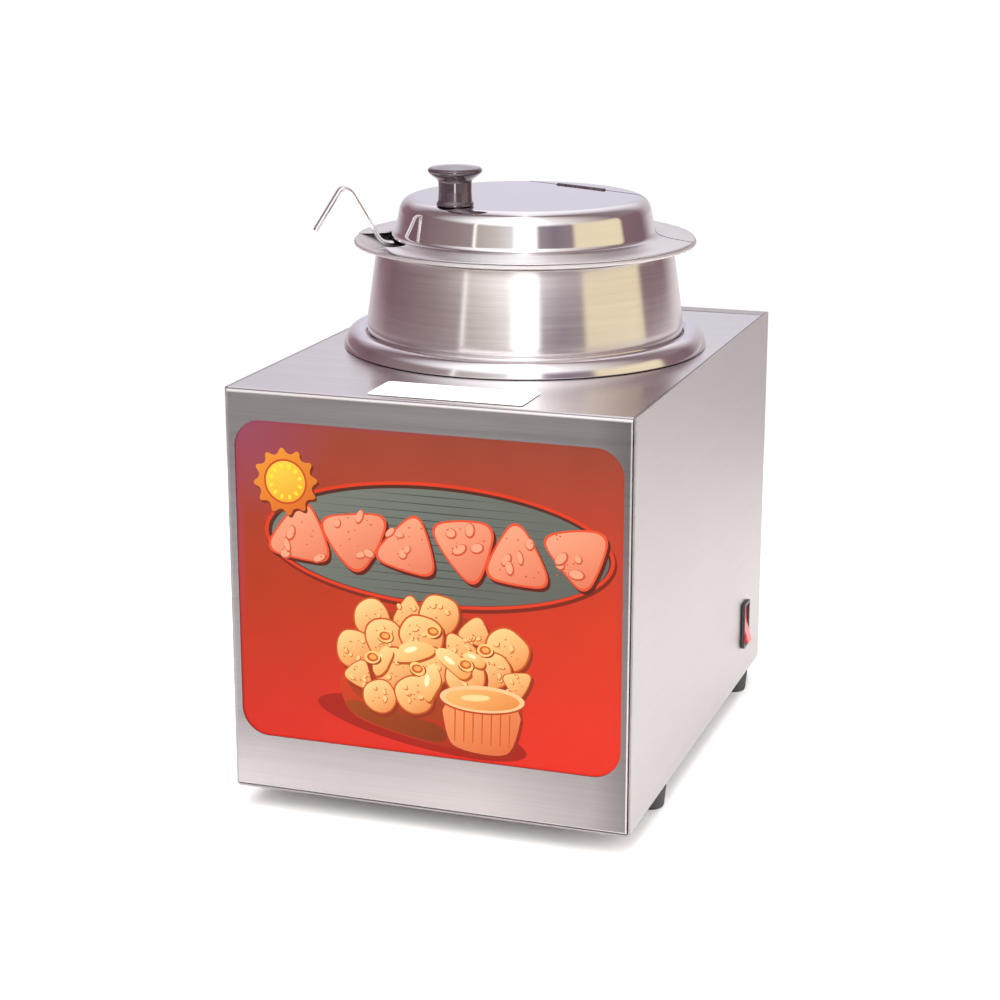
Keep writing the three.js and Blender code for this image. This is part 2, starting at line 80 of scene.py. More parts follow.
def rounded_path(points, divisions=8, support=0.4):
    """A line through [x, y, reach] points. A corner is rounded as far as its reach along both its sides,
    and extra points beside it keep the flats flat."""
    line = [Vector(points[0][:2])]
    for i in range(1, len(points) - 1):
        corner = Vector(points[i][:2])
        reach = points[i][2] if len(points[i]) > 2 else 0
        if not reach:
            line.append(corner)
            continue
        before = corner + (Vector(points[i - 1][:2]) - corner).normalized() * reach
        after = corner + (Vector(points[i + 1][:2]) - corner).normalized() * reach
        for k in range(divisions + 1):
            t = k / divisions
            line.append(before * (1 - t) ** 2 + corner * 2 * t * (1 - t) + after * t * t)
    line.append(Vector(points[-1][:2]))
    made = [line[0]]
    for a, b in zip(line, line[1:]):
        length = (b - a).length
        if length < 1e-4:
            continue
        if length > support * 4:
            step = (b - a) / length * support
            made += [a + step, b - step]
        made.append(b)
    return made


def ribbon(line, thickness, rounded=(True, True)):
    """The closed outline of a strip of even thickness along a line, with its free edges rounded."""
    half, end_steps = thickness / 2, 6
    line = [p.copy() for p in line]
    for end, inner in ((0, 1), (-1, -2)):
        if rounded[end]:
            while (line[inner] - line[end]).length < thickness:
                line.pop(inner)
            line[end] += (line[inner] - line[end]).normalized() * half * 0.98
    normals = []
    for a, b in zip(line, line[1:]):
        along = (b - a).normalized()
        normals.append(Vector((-along.y, along.x)))
    left, right = [], []
    for i, p in enumerate(line):
        before = normals[max(i - 1, 0)]
        after = normals[min(i, len(normals) - 1)]
        mitre = (before + after).normalized()
        reach = half / mitre.dot(before)
        left.append(p + mitre * reach)
        right.append(p - mitre * reach)

    def cap(end, normal):
        sign = 1 if end == -1 else -1
        along = Vector((normal.y, -normal.x)) * sign
        arc = []
        for k in range(1, end_steps):
            a = math.pi / 2 - math.pi * k / end_steps
            arc.append(line[end] + along * half * math.cos(a) + normal * half * math.sin(a) * sign)
        return arc

    outline = list(left)
    if rounded[-1]:
        outline += cap(-1, normals[-1])
    outline += reversed(right)
    if rounded[0]:
        outline += cap(0, normals[0])
    return outline


def rounded_rectangle(x0, x1, y0, y1, radius, steps):
    left, right, low, high = x0 + radius, x1 - radius, y0 + radius, y1 - radius
    points = []
    for x, y, start in ((right, low, -90), (right, high, 0), (left, high, 90), (left, low, 180)):
        for k in range(steps + 1):
            a = math.radians(start + 90 * k / steps)
            points.append(Vector((x + radius * math.cos(a), y + radius * math.sin(a))))
    return points


# ---- meshes ----


def linked(name, data):
    """A new object of the scene."""
    obj = bpy.data.objects.new(name, data)
    bpy.context.scene.collection.objects.link(obj)
    return obj


def make_object(name, verts, faces, matrix=None, scale=MM):
    """A mesh object from points in millimetres, cleaned and with its faces turned outward."""
    mesh = bpy.data.meshes.new(name)
    mesh.from_pydata([Vector(v) * scale for v in verts], [], faces)
    if matrix is not None:
        mesh.transform(matrix)
    tidy = bmesh.new()
    tidy.from_mesh(mesh)
    bmesh.ops.remove_doubles(tidy, verts=tidy.verts, dist=1e-7)
    bmesh.ops.recalc_face_normals(tidy, faces=tidy.faces)
    tidy.to_mesh(mesh)
    tidy.free()
    return linked(name, mesh)


def place(x, y, z, turn=None):
    """A matrix that moves a shape to a point in millimetres, after an optional turn."""
    matrix = Matrix.Translation(Vector((x, y, z)) * MM)
    return matrix @ turn if turn is not None else matrix


def cabinet(x, y, z):
    """A point of the cabinet in the row frame."""
    return Vector((x, y, z)) + SHIFT


def turn(degrees, axis):
    return Matrix.Rotation(math.radians(degrees), 4, axis)


POT_PLACE = place(*POT)
LID_PLACE = POT_PLACE @ Matrix.Rotation(LID_TURN, 4, "Z")
LADLE_PLACE = POT_PLACE @ Matrix.Rotation(LADLE_BEARING, 4, "Z")


def lathe(name, outline, steps, matrix):
    """A revolved solid about Z from a closed outline of (radius, height) points."""
    verts, rings = [], []
    for p in outline:
        if p[0] < 1e-6:
            rings.append([len(verts)] * steps)
            verts.append((0, 0, p[1]))
            continue
        rings.append(list(range(len(verts), len(verts) + steps)))
        for k in range(steps):
            a = math.tau * k / steps
            verts.append((p[0] * math.cos(a), p[0] * math.sin(a), p[1]))
    faces = []
    for i, ring in enumerate(rings):
        after = rings[(i + 1) % len(rings)]
        if ring[0] == ring[1] and after[0] == after[1]:
            continue
        for k in range(steps):
            j = (k + 1) % steps
            quad = [ring[k], ring[j], after[j], after[k]]
            faces.append(list(dict.fromkeys(quad)))
    return make_object(name, verts, faces, matrix)


def prism(name, outline, low, high, axis, matrix):
    """A closed outline extruded along an axis. The outline is (x, y) for Z, (x, z) for Y and (y, z) for X."""
    where = {
        "Z": lambda p, d: (p[0], p[1], d),
        "Y": lambda p, d: (p[0], d, p[1]),
        "X": lambda p, d: (d, p[0], p[1]),
    }[axis]
    n = len(outline)
    verts = [where(p, low) for p in outline] + [where(p, high) for p in outline]
    faces = [list(range(n)), list(range(n, 2 * n))]
    faces += [[k, (k + 1) % n, n + (k + 1) % n, n + k] for k in range(n)]
    return make_object(name, verts, faces, matrix)


def block(x, y, z, matrix):
    outline = [(x[0], y[0]), (x[1], y[0]), (x[1], y[1]), (x[0], y[1])]
    return prism("block", outline, z[0], z[1], "Z", matrix)


def circle(steps):
    """Points evenly round the unit circle."""
    return [(math.cos(math.tau * k / steps), math.sin(math.tau * k / steps)) for k in range(steps)]


def drum(radius, low, high, steps, matrix):
    return prism("drum", [(radius * x, radius * y) for x, y in circle(steps)], low, high, "Z", matrix)


def combine(obj, others, operation):
    """Applies a boolean of each other object to obj and deletes those objects."""
    for other in others:
        modifier = obj.modifiers.new(operation, "BOOLEAN")
        modifier.operation = operation
        modifier.object = other
        modifier.solver = "EXACT"
    bpy.context.view_layer.update()
    graph = bpy.context.evaluated_depsgraph_get()
    mesh = bpy.data.meshes.new_from_object(obj.evaluated_get(graph))
    obj.modifiers.clear()
    obj.data = mesh
    for other in others:
        bpy.data.objects.remove(other)


def cut(obj, *others):
    combine(obj, others, "DIFFERENCE")


def join(obj, *others):
    combine(obj, others, "UNION")


def soften(obj, width, segments, limit=40):
    """Rounds the sharp edges and keeps the flats between them flat."""
    bevel = obj.modifiers.new("edges", "BEVEL")
    bevel.width = width * MM
    bevel.segments = segments
    bevel.limit_method = "ANGLE"
    bevel.angle_limit = math.radians(limit)
    bevel.use_clamp_overlap = True
    bevel.miter_outer = "MITER_ARC"
    weights = obj.modifiers.new("flats", "WEIGHTED_NORMAL")
    weights.keep_sharp = True
    weights.weight = 80


def piece(obj, node, body, materials, sharp=50):
    """Finishes one visible piece: smooth shading, its materials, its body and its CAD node."""
    mesh = obj.data
    mesh.polygons.foreach_set("use_smooth", [True] * len(mesh.polygons))
    mesh.set_sharp_from_angle(angle=math.radians(sharp))
    mesh.materials.clear()
    for material in materials if isinstance(materials, list) else [materials]:
        mesh.materials.append(material)
    obj.name = mesh.name = node + "_fine"
    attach(obj, body)
    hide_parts(node)
    return obj


# ---- materials ----


def linear(red, green, blue, gain=1.0):
    """An sRGB colour from 0 to 255 as a linear RGBA value."""
    made = []
    for value in (red, green, blue):
        v = value / 255
        made.append(gain * (v / 12.92 if v <= 0.04045 else ((v + 0.055) / 1.055) ** 2.4))
    return (*made, 1.0)


class Graph:
    """The node tree of a material or world, with short calls to add nodes, do sums and finish a surface."""

    def __init__(self, owner, coordinates="Object"):
        owner.use_nodes = True
        self.owner = owner
        self.tree = owner.node_tree
        self.tree.nodes.clear()
        self.where = self.add("ShaderNodeTexCoord").outputs[coordinates]

    def add(self, kind, settings=None, inputs=None):
        node = self.tree.nodes.new(kind)
        for key, value in (settings or {}).items():
            setattr(node, key, value)
        for key, value in (inputs or {}).items():
            if isinstance(value, bpy.types.NodeSocket):
                self.tree.links.new(value, node.inputs[key])
            else:
                node.inputs[key].default_value = value
        return node

    def math(self, operation, a, b=0.0):
        return self.add("ShaderNodeMath", {"operation": operation}, {0: a, 1: b}).outputs[0]

    def plus(self, a, b):
        return self.math("ADD", a, b)

    def minus(self, a, b):
        return self.math("SUBTRACT", a, b)

    def times(self, a, b):
        return self.math("MULTIPLY", a, b)

    def split(self, vector):
        """The x, y and z of a vector."""
        return self.add("ShaderNodeSeparateXYZ", None, {0: vector}).outputs[:3]

    def scaled(self, vector, factor):
        node = self.add("ShaderNodeVectorMath", {"operation": "SCALE"}, {0: vector, "Scale": factor})
        return node.outputs[0]

    def noise(self, vector, scale, detail, roughness=0.55):
        values = {"Vector": vector, "Scale": scale, "Detail": detail, "Roughness": roughness}
        return self.add("ShaderNodeTexNoise", None, values).outputs[0]

    def stretched(self, scale):
        return self.add("ShaderNodeMapping", None, {"Vector": self.where, "Scale": scale}).outputs[0]

    def ranged(self, value, low, high, start=0.3, end=0.7):
        values = {"Value": value, "From Min": start, "From Max": end, "To Min": low, "To Max": high}
        return self.add("ShaderNodeMapRange", None, values).outputs[0]

    def tinted(self, factor, a, b):
        """A mix of two colours or colour sockets: a where the factor is 0, b where it is 1."""
        return self.add("ShaderNodeMix", {"data_type": "RGBA"}, {0: factor, 6: a, 7: b}).outputs[2]

    def bump(self, height, strength, distance, normal=None):
        inputs = {"Height": height, "Strength": strength, "Distance": distance}
        if normal is not None:
            inputs["Normal"] = normal
        return self.add("ShaderNodeBump", None, inputs).outputs[0]

    def surface(self, inputs):
        shader = self.add("ShaderNodeBsdfPrincipled", None, inputs)
        output = self.add("ShaderNodeOutputMaterial")
        self.tree.links.new(shader.outputs[0], output.inputs["Surface"])
        return self.owner


def shade(colour, factor):
    return (*(min(1.0, c * factor) for c in colour), 1.0)


def front_painted_light(g):
    """Painted light on the cover's front: painted reflections make it greyer above and lighter along its
    foot, painted shade makes it darker towards the right and along its right edge, and painted highlights
    brighten the folds at its sides and hem.
    Each range ends with the two places in metres that it runs between."""
    x, _, z = g.split(g.where)
    # Painted reflection and shade: lighter along the foot, darker towards the right.
    low = g.ranged(z, 1.0, 0.0, 0.022, 0.060)
    right = g.ranged(x, 0.0, 1.0, 0.03, 0.12)
    painted_foot_light = g.times(low, g.minus(0.38, g.times(right, 0.28)))
    painted_light = g.plus(g.minus(0.53, g.times(right, 0.08)), painted_foot_light)
    off = g.minus(x, SHIFT.x * MM)
    # Painted shade: darker towards the right edge.
    edge = g.ranged(off, 0.0, 0.30, 0.100, 0.1208)
    painted_light = g.times(painted_light, g.minus(1.0, edge))
    # Painted highlights: bright lines along the side folds and the bottom hem.
    right_fold_highlight = g.ranged(off, 0.0, 1.0, 0.1212, 0.1217)
    left_fold_highlight = g.ranged(off, 0.6, 0.0, -0.1217, -0.1212)
    hem = g.ranged(z, 0.9, 0.0, 0.0168, 0.0176)
    fold_highlights = g.math("MAXIMUM", g.math("MAXIMUM", right_fold_highlight, left_fold_highlight), hem)
    return g.math("MAXIMUM", painted_light, g.times(fold_highlights, 1.15))


def brushed_sheet(name, grain, tangent, colour, roughness, lines=1.0, anisotropy=0.75, painted_light=None):
    """Stainless sheet with a straight grain: fine hairlines and broader streaks along one axis."""
    g = Graph(bpy.data.materials.new(name))
    fine_scale = [2600.0, 2600.0, 2600.0]
    broad_scale = [260.0, 260.0, 260.0]
    fine_scale[grain], broad_scale[grain] = 14.0, 3.0
    fine = g.noise(g.stretched(fine_scale), 1.0, 4.0, 0.65)
    broad = g.noise(g.stretched(broad_scale), 1.0, 3.0, 0.6)
    cloud = g.noise(g.where, 9.0, 2.0)
    hair = g.plus(g.times(fine, 0.6), g.times(broad, 0.4))
    mixed = g.plus(g.times(hair, 0.8), g.times(cloud, 0.2))
    dark, light = shade(colour, 1 - 0.16 * lines), shade(colour, 1 + 0.10 * lines)
    base = g.tinted(g.ranged(mixed, 0.0, 1.0, 0.35, 0.65), dark, light)
    # Painted light: when a factor is given, it scales the base colour with painted reflections, shade and
    # highlights.
    if painted_light:
        base = g.scaled(base, painted_light(g))
    rough = g.ranged(hair, roughness - 0.07 * lines, roughness + 0.09 * lines)
    normal = g.bump(hair, 0.12 * lines, 0.00006)
    direction = g.add("ShaderNodeCombineXYZ", None, dict(zip("XYZ", tangent))).outputs[0]
    return g.surface({
        "Base Color": base, "Metallic": 1.0, "Roughness": rough, "Normal": normal,
        "Anisotropic": anisotropy, "Tangent": direction,
    })


def from_axis(g):
    """How far a point lies from the pot's axis: along X, along Y and straight."""
    x, y, _ = g.split(g.where)
    x, y = g.minus(x, POT.x * MM), g.minus(y, POT.y * MM)
    radius = g.math("SQRT", g.plus(g.times(x, x), g.times(y, y)))
    return x, y, radius


def turned_coordinates(g, pitch, wander=1.6):
    """Coordinates whose lines run round the pot's axis."""
    x, y, radius = from_axis(g)
    safe = g.math("MAXIMUM", radius, 0.001)
    height = g.plus(g.split(g.where)[2], g.times(radius, 0.7))
    values = {
        "X": g.times(g.math("DIVIDE", x, safe), wander),
        "Y": g.times(g.math("DIVIDE", y, safe), wander),
        "Z": g.times(height, pitch),
    }
    return g.add("ShaderNodeCombineXYZ", None, values).outputs[0]


def turned_steel(name, colour, roughness, lines, anisotropy=0.0, wave=0.0, brim=0.0):
    """Stainless turned or spun round the pot's axis, from polished with faint marks to plainly brushed.
    The brim is the added roughness of a lid's or pot's flare, which hands have dulled."""
    g = Graph(bpy.data.materials.new(name))
    fine = g.noise(turned_coordinates(g, 2400.0), 1.0, 4.0, 0.65)
    broad = g.noise(turned_coordinates(g, 330.0, 1.0), 1.0, 3.0, 0.6)
    hair = g.plus(g.times(fine, 0.55), g.times(broad, 0.45))
    smudge = g.noise(g.where, 22.0, 3.0, 0.6)
    dark, light = shade(colour, 1 - 0.2 * lines), shade(colour, 1 + 0.08 * lines)
    base = g.tinted(g.ranged(hair, 0.0, 1.0, 0.35, 0.65), dark, light)
    rough = g.plus(g.ranged(hair, roughness * (1 - 0.3 * lines), roughness * (1 + 0.4 * lines)),
                   g.ranged(smudge, 0.0, 0.05 * (1.2 - lines), 0.5, 0.8))
    x, y, radius = from_axis(g)
    if brim:
        rough = g.plus(rough, g.ranged(radius, 0.0, brim, 0.083, 0.088))
    normal = g.bump(hair, 0.14 * lines, 0.00005)
    if wave:
        normal = g.bump(g.noise(g.where, 16.0, 1.0), wave, 0.0012, normal)
    inputs = {"Base Color": base, "Metallic": 1.0, "Roughness": rough, "Normal": normal}
    if anisotropy:
        around = g.add("ShaderNodeCombineXYZ", None, {"X": g.times(y, -1.0), "Y": x}).outputs[0]
        inputs.update({"Anisotropic": anisotropy, "Anisotropic Rotation": 0.25, "Tangent": around})
    return g.surface(inputs)


def mottled(name, dark, light, roughness, scale, bump, depth=0.00005, **extra):
    """Cast, moulded, plated or painted stuff: two close tones with a fine grain."""
    g = Graph(bpy.data.materials.new(name))
    grain = g.noise(g.where, scale, 4.0, 0.6)
    patch = g.noise(g.where, scale / 12, 3.0, 0.6)
    mix = g.plus(g.times(grain, 0.5), g.times(patch, 0.5))
    inputs = {
        "Base Color": g.tinted(g.ranged(mix, 0.0, 1.0, 0.38, 0.62), (*dark, 1.0), (*light, 1.0)),
        "Roughness": g.ranged(patch, roughness[0], roughness[1]),
        "Normal": g.bump(grain, bump, depth),
    }
    inputs.update(extra)
    return g.surface(inputs)


STEEL = (0.60, 0.575, 0.575)
METAL = {"Metallic": 1.0}
# The cover's brushed steel has painted reflections, painted shade and painted fold highlights in its base
# colour.
front_steel = brushed_sheet("brushed_cover", 0, (0.0, 1.0, 1.0), STEEL, 0.34, painted_light=front_painted_light)
deck_steel = brushed_sheet("brushed_deck", 0, (0.0, 1.0, 0.0), (0.82, 0.79, 0.79), 0.20, 0.5, 0.5)
side_steel = brushed_sheet("brushed_chassis", 1, (0.0, 0.0, 1.0), (0.62, 0.595, 0.58), 0.42, 0.4)
rear_steel = brushed_sheet("brushed_back", 0, (0.0, 0.0, 1.0), STEEL, 0.38)
collar_steel = turned_steel("brushed_collar", (0.88, 0.845, 0.83), 0.17, 0.35, anisotropy=0.9)
well_steel = turned_steel("brushed_well", (0.62, 0.6, 0.6), 0.32, 1.0, anisotropy=0.5)
mirror_steel = turned_steel("polished_lid", (0.87, 0.85, 0.86), 0.05, 0.2, wave=0.05, brim=0.36)
ring_steel = turned_steel("polished_ring", (0.88, 0.85, 0.88), 0.11, 0.3, wave=0.30)
pot_steel = turned_steel("polished_pot", (0.88, 0.85, 0.85), 0.30, 0.5, brim=0.3)
ladle_steel = mottled(
    "polished_ladle", (0.84, 0.82, 0.82), (0.94, 0.92, 0.92), (0.08, 0.14), 300, 0.05, **METAL
)
hinge_steel = mottled("hinge_steel", (0.22, 0.20, 0.21), (0.34, 0.31, 0.32), (0.3, 0.45), 900, 0.1, **METAL)
zinc_steel = mottled("plated_steel", (0.45, 0.45, 0.43), (0.66, 0.65, 0.62), (0.3, 0.5), 500, 0.15, **METAL)
# Darker, duller steel for the chassis's sheared front edges: partly the real cut edge, partly painted shade
# of the gap beside the cover.
sheared_and_shaded_steel = mottled("sheared_edge_and_painted_shade", (0.34, 0.32, 0.32), (0.50, 0.47, 0.47), (0.5, 0.7), 1800, 0.4, **METAL)
rubber = mottled("black_rubber", (0.035, 0.033, 0.036), (0.075, 0.070, 0.074), (0.65, 0.85), 900, 0.35)
black_plastic = mottled(
    "black_plastic", (0.03, 0.026, 0.032), (0.055, 0.045, 0.055), (0.32, 0.45), 1400, 0.25
)
phenolic = mottled(
    "black_phenolic", (0.030, 0.016, 0.024), (0.046, 0.028, 0.038), (0.07, 0.12), 260, 0.03,
    **{"Coat Weight": 0.8, "Coat Roughness": 0.04, "Coat IOR": 1.75},
)
# Red rocker plastic with a painted glow: its emission lights a switch that has no lamp.
red_plastic_painted_glow = mottled(
    "red_rocker", (0.55, 0.012, 0.022), (0.72, 0.030, 0.035), (0.16, 0.26), 900, 0.08,
    **{"Coat Weight": 0.4, "Emission Color": (0.8, 0.02, 0.03, 1), "Emission Strength": 0.12},
)
white_label = mottled("white_label", (0.86, 0.85, 0.84), (0.95, 0.94, 0.93), (0.35, 0.5), 700, 0.08)
white_paint = mottled("white_paint", (0.82, 0.81, 0.78), (0.90, 0.89, 0.87), (0.45, 0.6), 600, 0.2)
opal = mottled("opal_acrylic", (0.86, 0.85, 0.82), (0.92, 0.91, 0.88), (0.35, 0.45), 300, 0.05)
ceramic = mottled("ceramic", (0.72, 0.68, 0.60), (0.84, 0.80, 0.72), (0.4, 0.6), 800, 0.2)
wool = mottled("mineral_wool", (0.42, 0.34, 0.16), (0.68, 0.58, 0.34), (0.9, 1.0), 350, 0.9, 0.0008)
bulb_glass = mottled(
    "frosted_bulb", (0.90, 0.84, 0.68), (0.98, 0.94, 0.82), (0.12, 0.2), 200, 0.03,
    **{"Emission Color": (1.0, 0.80, 0.50, 1), "Emission Strength": 0.6},
)

# ---- cabinet ----


IN_CABINET = place(*SHIFT)  # takes a shape from cabinet coordinates to the row frame


def facing_rear(x, y, z):
    """The place of a shape made about +Z, turned so that its axis points to the rear."""
    return place(*cabinet(x, y, z), turn(-90, "X"))


def base_chassis():
    """Floor and both sides of one bent sheet, with rear flanges, vents and the holes for feet and switch."""
    set_back = 1.6
    middle = HALF - SHEET / 2
    low = FOOT + SHEET / 2
    path = rounded_path([[-middle, DECK], [-middle, low, 2], [middle, low, 2], [middle, DECK]])
    body = prism("chassis", ribbon(path, SHEET, (False, False)), set_back, DEPTH, "Y", IN_CABINET)
    rear = (DEPTH - SHEET * 2 - 0.4, DEPTH - SHEET - 0.4)
    for side in (-1, 1):
        across = sorted((side * (HALF - 0.5), side * (HALF - 15)))
        join(body, block(across, rear, (FOOT + 0.5, DECK - 16), IN_CABINET))
    holes = [drum(SCREW_HOLE, 10, 20, 24, place(*cabinet(x, y, 0))) for _, x, y in FEET]
    holes += [drum(SCREW_HOLE, -6, 6, 24, facing_rear(x, DEPTH - 2 * SHEET, z)) for x, z in BACK_SCREWS]
    switch_hole = (SWITCH_Y - 6.7, SWITCH_Y + 6.7), (SWITCH_Z - 14.9, SWITCH_Z + 14.9)
    holes.append(block((HALF - 4, HALF + 4), *switch_hole, IN_CABINET))
    pitch, near, far = 22, 150, 214  # five vents in the floor
    for slot in range(-2, 3):
        outline = rounded_rectangle(slot * pitch - 3, slot * pitch + 3, near, far, 2.9, 6)
        holes.append(prism("vent", outline, 10, 20, "Z", IN_CABINET))
    cut(body, *holes)
    soften(body, 0.3, 3)
    made = piece(body, "base_chassis", "cabinet", [side_steel, sheared_and_shaded_steel])
    # The chassis's front-facing edge faces get that darker steel, which paints in the shade of the gap beside
    # the cover.
    front = (set_back + SHIFT.y) * MM + 1e-5
    for face in made.data.polygons:
        if face.normal.y < -0.9 and face.center.y < front:
            face.material_index = 1


def front_top_cover():
    """Sign frame and deck of one bent sheet with narrow side hems, cut out for the sign and the well."""
    front, rear = SHEET / 2, DEPTH - 14
    hem, deck = FOOT + 2.2, DECK - SHEET / 2
    path = rounded_path([[12, hem], [front, hem, 2], [front, deck, 2.6], [rear, deck, 2], [rear, deck - 12]])
    body = prism("cover", ribbon(path, SHEET), -COVER_HALF, COVER_HALF, "X", IN_CABINET)
    for side in (-1, 1):
        edges = sorted((side * COVER_HALF, side * (COVER_HALF - SHEET)))
        join(
            body,
            block(edges, (0.8, 13), (hem, DECK - 1), IN_CABINET),
            block(edges, (0.8, rear), (DECK - 13, DECK - 0.8), IN_CABINET),
        )
    window = rounded_rectangle(-118.2, 118.2, 49.2, 243.9, 17, 16)
    cut(body, prism("window", window, -2, 4, "Y", IN_CABINET), drum(94, -5, 5, 128, POT_PLACE))
    soften(body, 0.55, 3)
    made = piece(body, "front_top_cover", "cabinet", [front_steel, deck_steel])
    for face in made.data.polygons:
        if face.normal.z > 0.12 and face.center.z > (DECK - 4) * MM:
            face.material_index = 1


def back_panel():
    """The rear panel with its top lip, two columns of louvres and the holes for screws and cord."""
    wide = (-COVER_HALF, COVER_HALF)
    plate = block(wide, (DEPTH - SHEET, DEPTH), (15.6, DECK - 0.3), IN_CABINET)
    join(plate, block(wide, (DEPTH - 13, DEPTH - 0.5), (DECK - SHEET, DECK), IN_CABINET))
    holes = [drum(SCREW_HOLE, -6, 6, 24, facing_rear(x, DEPTH, z)) for x, z in BACK_SCREWS]
    holes.append(drum(8.6, -6, 6, 40, facing_rear(CORD_X, DEPTH, CORD_Z)))
    for column in (-48, 48):
        for row in range(6):
            z = FOOT + 120 + row * 14
            outline = rounded_rectangle(column - 30, column + 30, z, z + 3, 1.45, 6)
            holes.append(prism("louvre", outline, DEPTH - 6, DEPTH + 6, "Y", IN_CABINET))
    cut(plate, *holes)
    soften(plate, 0.3, 2)
    piece(plate, "back_panel", "cabinet", rear_steel)


def pan_screw(node, body, head, height, shank, length, matrix):
    """A pan-head screw with a cross recess. The head's underside is at z = 0 and the shank goes up."""
    dome = [(0, 1), (0.45, 0.97), (0.78, 0.82), (0.95, 0.5), (1, 0.2), (1, 0)]
    outline = [(head * across, -height * up) for across, up in dome]
    outline += [(shank, 0), (shank, length - 0.6), (shank - 0.6, length), (0, length)]
    screw = lathe("screw", outline, 32, matrix)
    bar = height * 0.55
    arms = [((-head * 0.5, head * 0.5), (-0.45, 0.45)), ((-0.45, 0.45), (-head * 0.5, head * 0.5))]
    cross = [block(x, y, (-height - 1, -height + bar), matrix) for x, y in arms]
    cut(screw, *cross)
    piece(screw, node, body, zinc_steel, 40)


def fasteners_and_feet():
    for i, (x, z) in enumerate(BACK_SCREWS):
        where = place(*cabinet(x, DEPTH + 0.3, z), turn(90, "X"))
        pan_screw(f"back_screw_{i + 1}", "cabinet", 4, 2.6, 2, 9, where)
    top = FOOT - 0.4
    outside = [[5, 0], [8, 0, 0.5], [8.8, 1, 0.6], [10, top, 0.5]]
    inside = [[SCREW_HOLE, top], [SCREW_HOLE, 5], [5, 5], [5, 0]]
    outline = rounded_path(outside + inside, 4)[:-1]
    for name, x, y in FEET:
        foot = lathe("foot", outline, 64, place(*cabinet(x, y, 0)))
        piece(foot, f"foot_{name}", "cabinet", rubber)
        pan_screw(f"foot_screw_{name}", "cabinet", 4.2, 2.6, 2, 16, place(*cabinet(x, y, 4.6)))


# ---- sign artwork ----

# A plain picture of chips, in millimetres from the cabinet's middle and floor. Each shape is an outline
# and its paint, a function that gives the colour at a point.


def smooth_outline(points, rounds=2):
    """Cuts the corners of an outline to round it."""
    points = [Vector(p) for p in points]
    for _ in range(rounds):
        made = []
        for a, b in zip(points, points[1:] + points[:1]):
            made += [a.lerp(b, 0.25), a.lerp(b, 0.75)]
        points = made
    return points


def moved(points, x, z, angle=0.0, sx=1.0, sz=1.0):
    c, s = math.cos(math.radians(angle)), math.sin(math.radians(angle))
    return [Vector((x + p.x * sx * c - p.y * sz * s, z + p.x * sx * s + p.y * sz * c)) for p in points]


def oval(x, z, rx, rz, steps, angle=0.0):
    return moved([Vector(p) for p in circle(steps)], x, z, angle, rx, rz)


def chip_outline(size, rng, corners):
    """A chip with rounded corners and slightly bowed sides, or a round one with an uneven edge."""
    tips = []
    for k in range(corners):
        a = math.radians(90 + 360 / corners * k + rng.uniform(-7, 7))
        tips.append(Vector((math.cos(a), math.sin(a))) * size * rng.uniform(0.92, 1.06))
    if corners > 4:
        return smooth_outline(tips)
    edges = []
    for a, b in zip(tips, tips[1:] + tips[:1]):
        middle = (a + b) / 2
        edges += [a, middle * rng.uniform(1.12, 1.3)]
    return smooth_outline(edges, 3)


def toward(a, b, t):
    """A colour on the way from a to b."""
    t = max(0.0, min(1.0, t))
    return tuple(x + (y - x) * t for x, y in zip(a, b))


def sign_field(p):
    """The red field: brownish at the top, mauve in the top left corner, a clear bright red at the bottom."""
    t = max(0.0, min(1.0, (p.y - 48) / 190))
    across = max(0.0, min(1.0, (p.x + 110) / 220))
    low = toward(linear(214, 44, 32), linear(232, 50, 34), across)
    middle = toward(linear(178, 56, 26), linear(212, 58, 32), across)
    high = toward(linear(156, 70, 52), linear(158, 70, 52), across)
    colour = toward(low, middle, t * 2) if t < 0.5 else toward(middle, high, t * 2 - 1)
    corner = max(0.0, 1 - (Vector((p.x + 118, p.y - 246)).length / 64))
    return toward(colour, linear(150, 76, 104), corner * 0.9)


def flat(*colour):
    """One even sRGB colour."""
    made = linear(*colour)
    return lambda p: made


def lit(x, z, size, dark, light):
    """Lighter towards the top left of a shape, darker towards its lower right, between two sRGB colours."""
    middle, low, high = Vector((x, z)), linear(*dark), linear(*light)

    def paint(p):
        d = (p - middle) / size
        return toward(low, high, 0.55 + 0.5 * (d.y * 0.75 - d.x * 0.45))

    return paint


SALMON = {
    "dark": (218, 98, 64), "light": (252, 172, 136), "rim": (232, 84, 50), "blister": (206, 86, 54),
    "shadow": (96, 34, 24),
}
TOASTED = {
    "dark": (226, 124, 54), "light": (254, 212, 142), "rim": (200, 86, 34), "blister": (208, 108, 48),
    "shadow": (150, 52, 22),
}


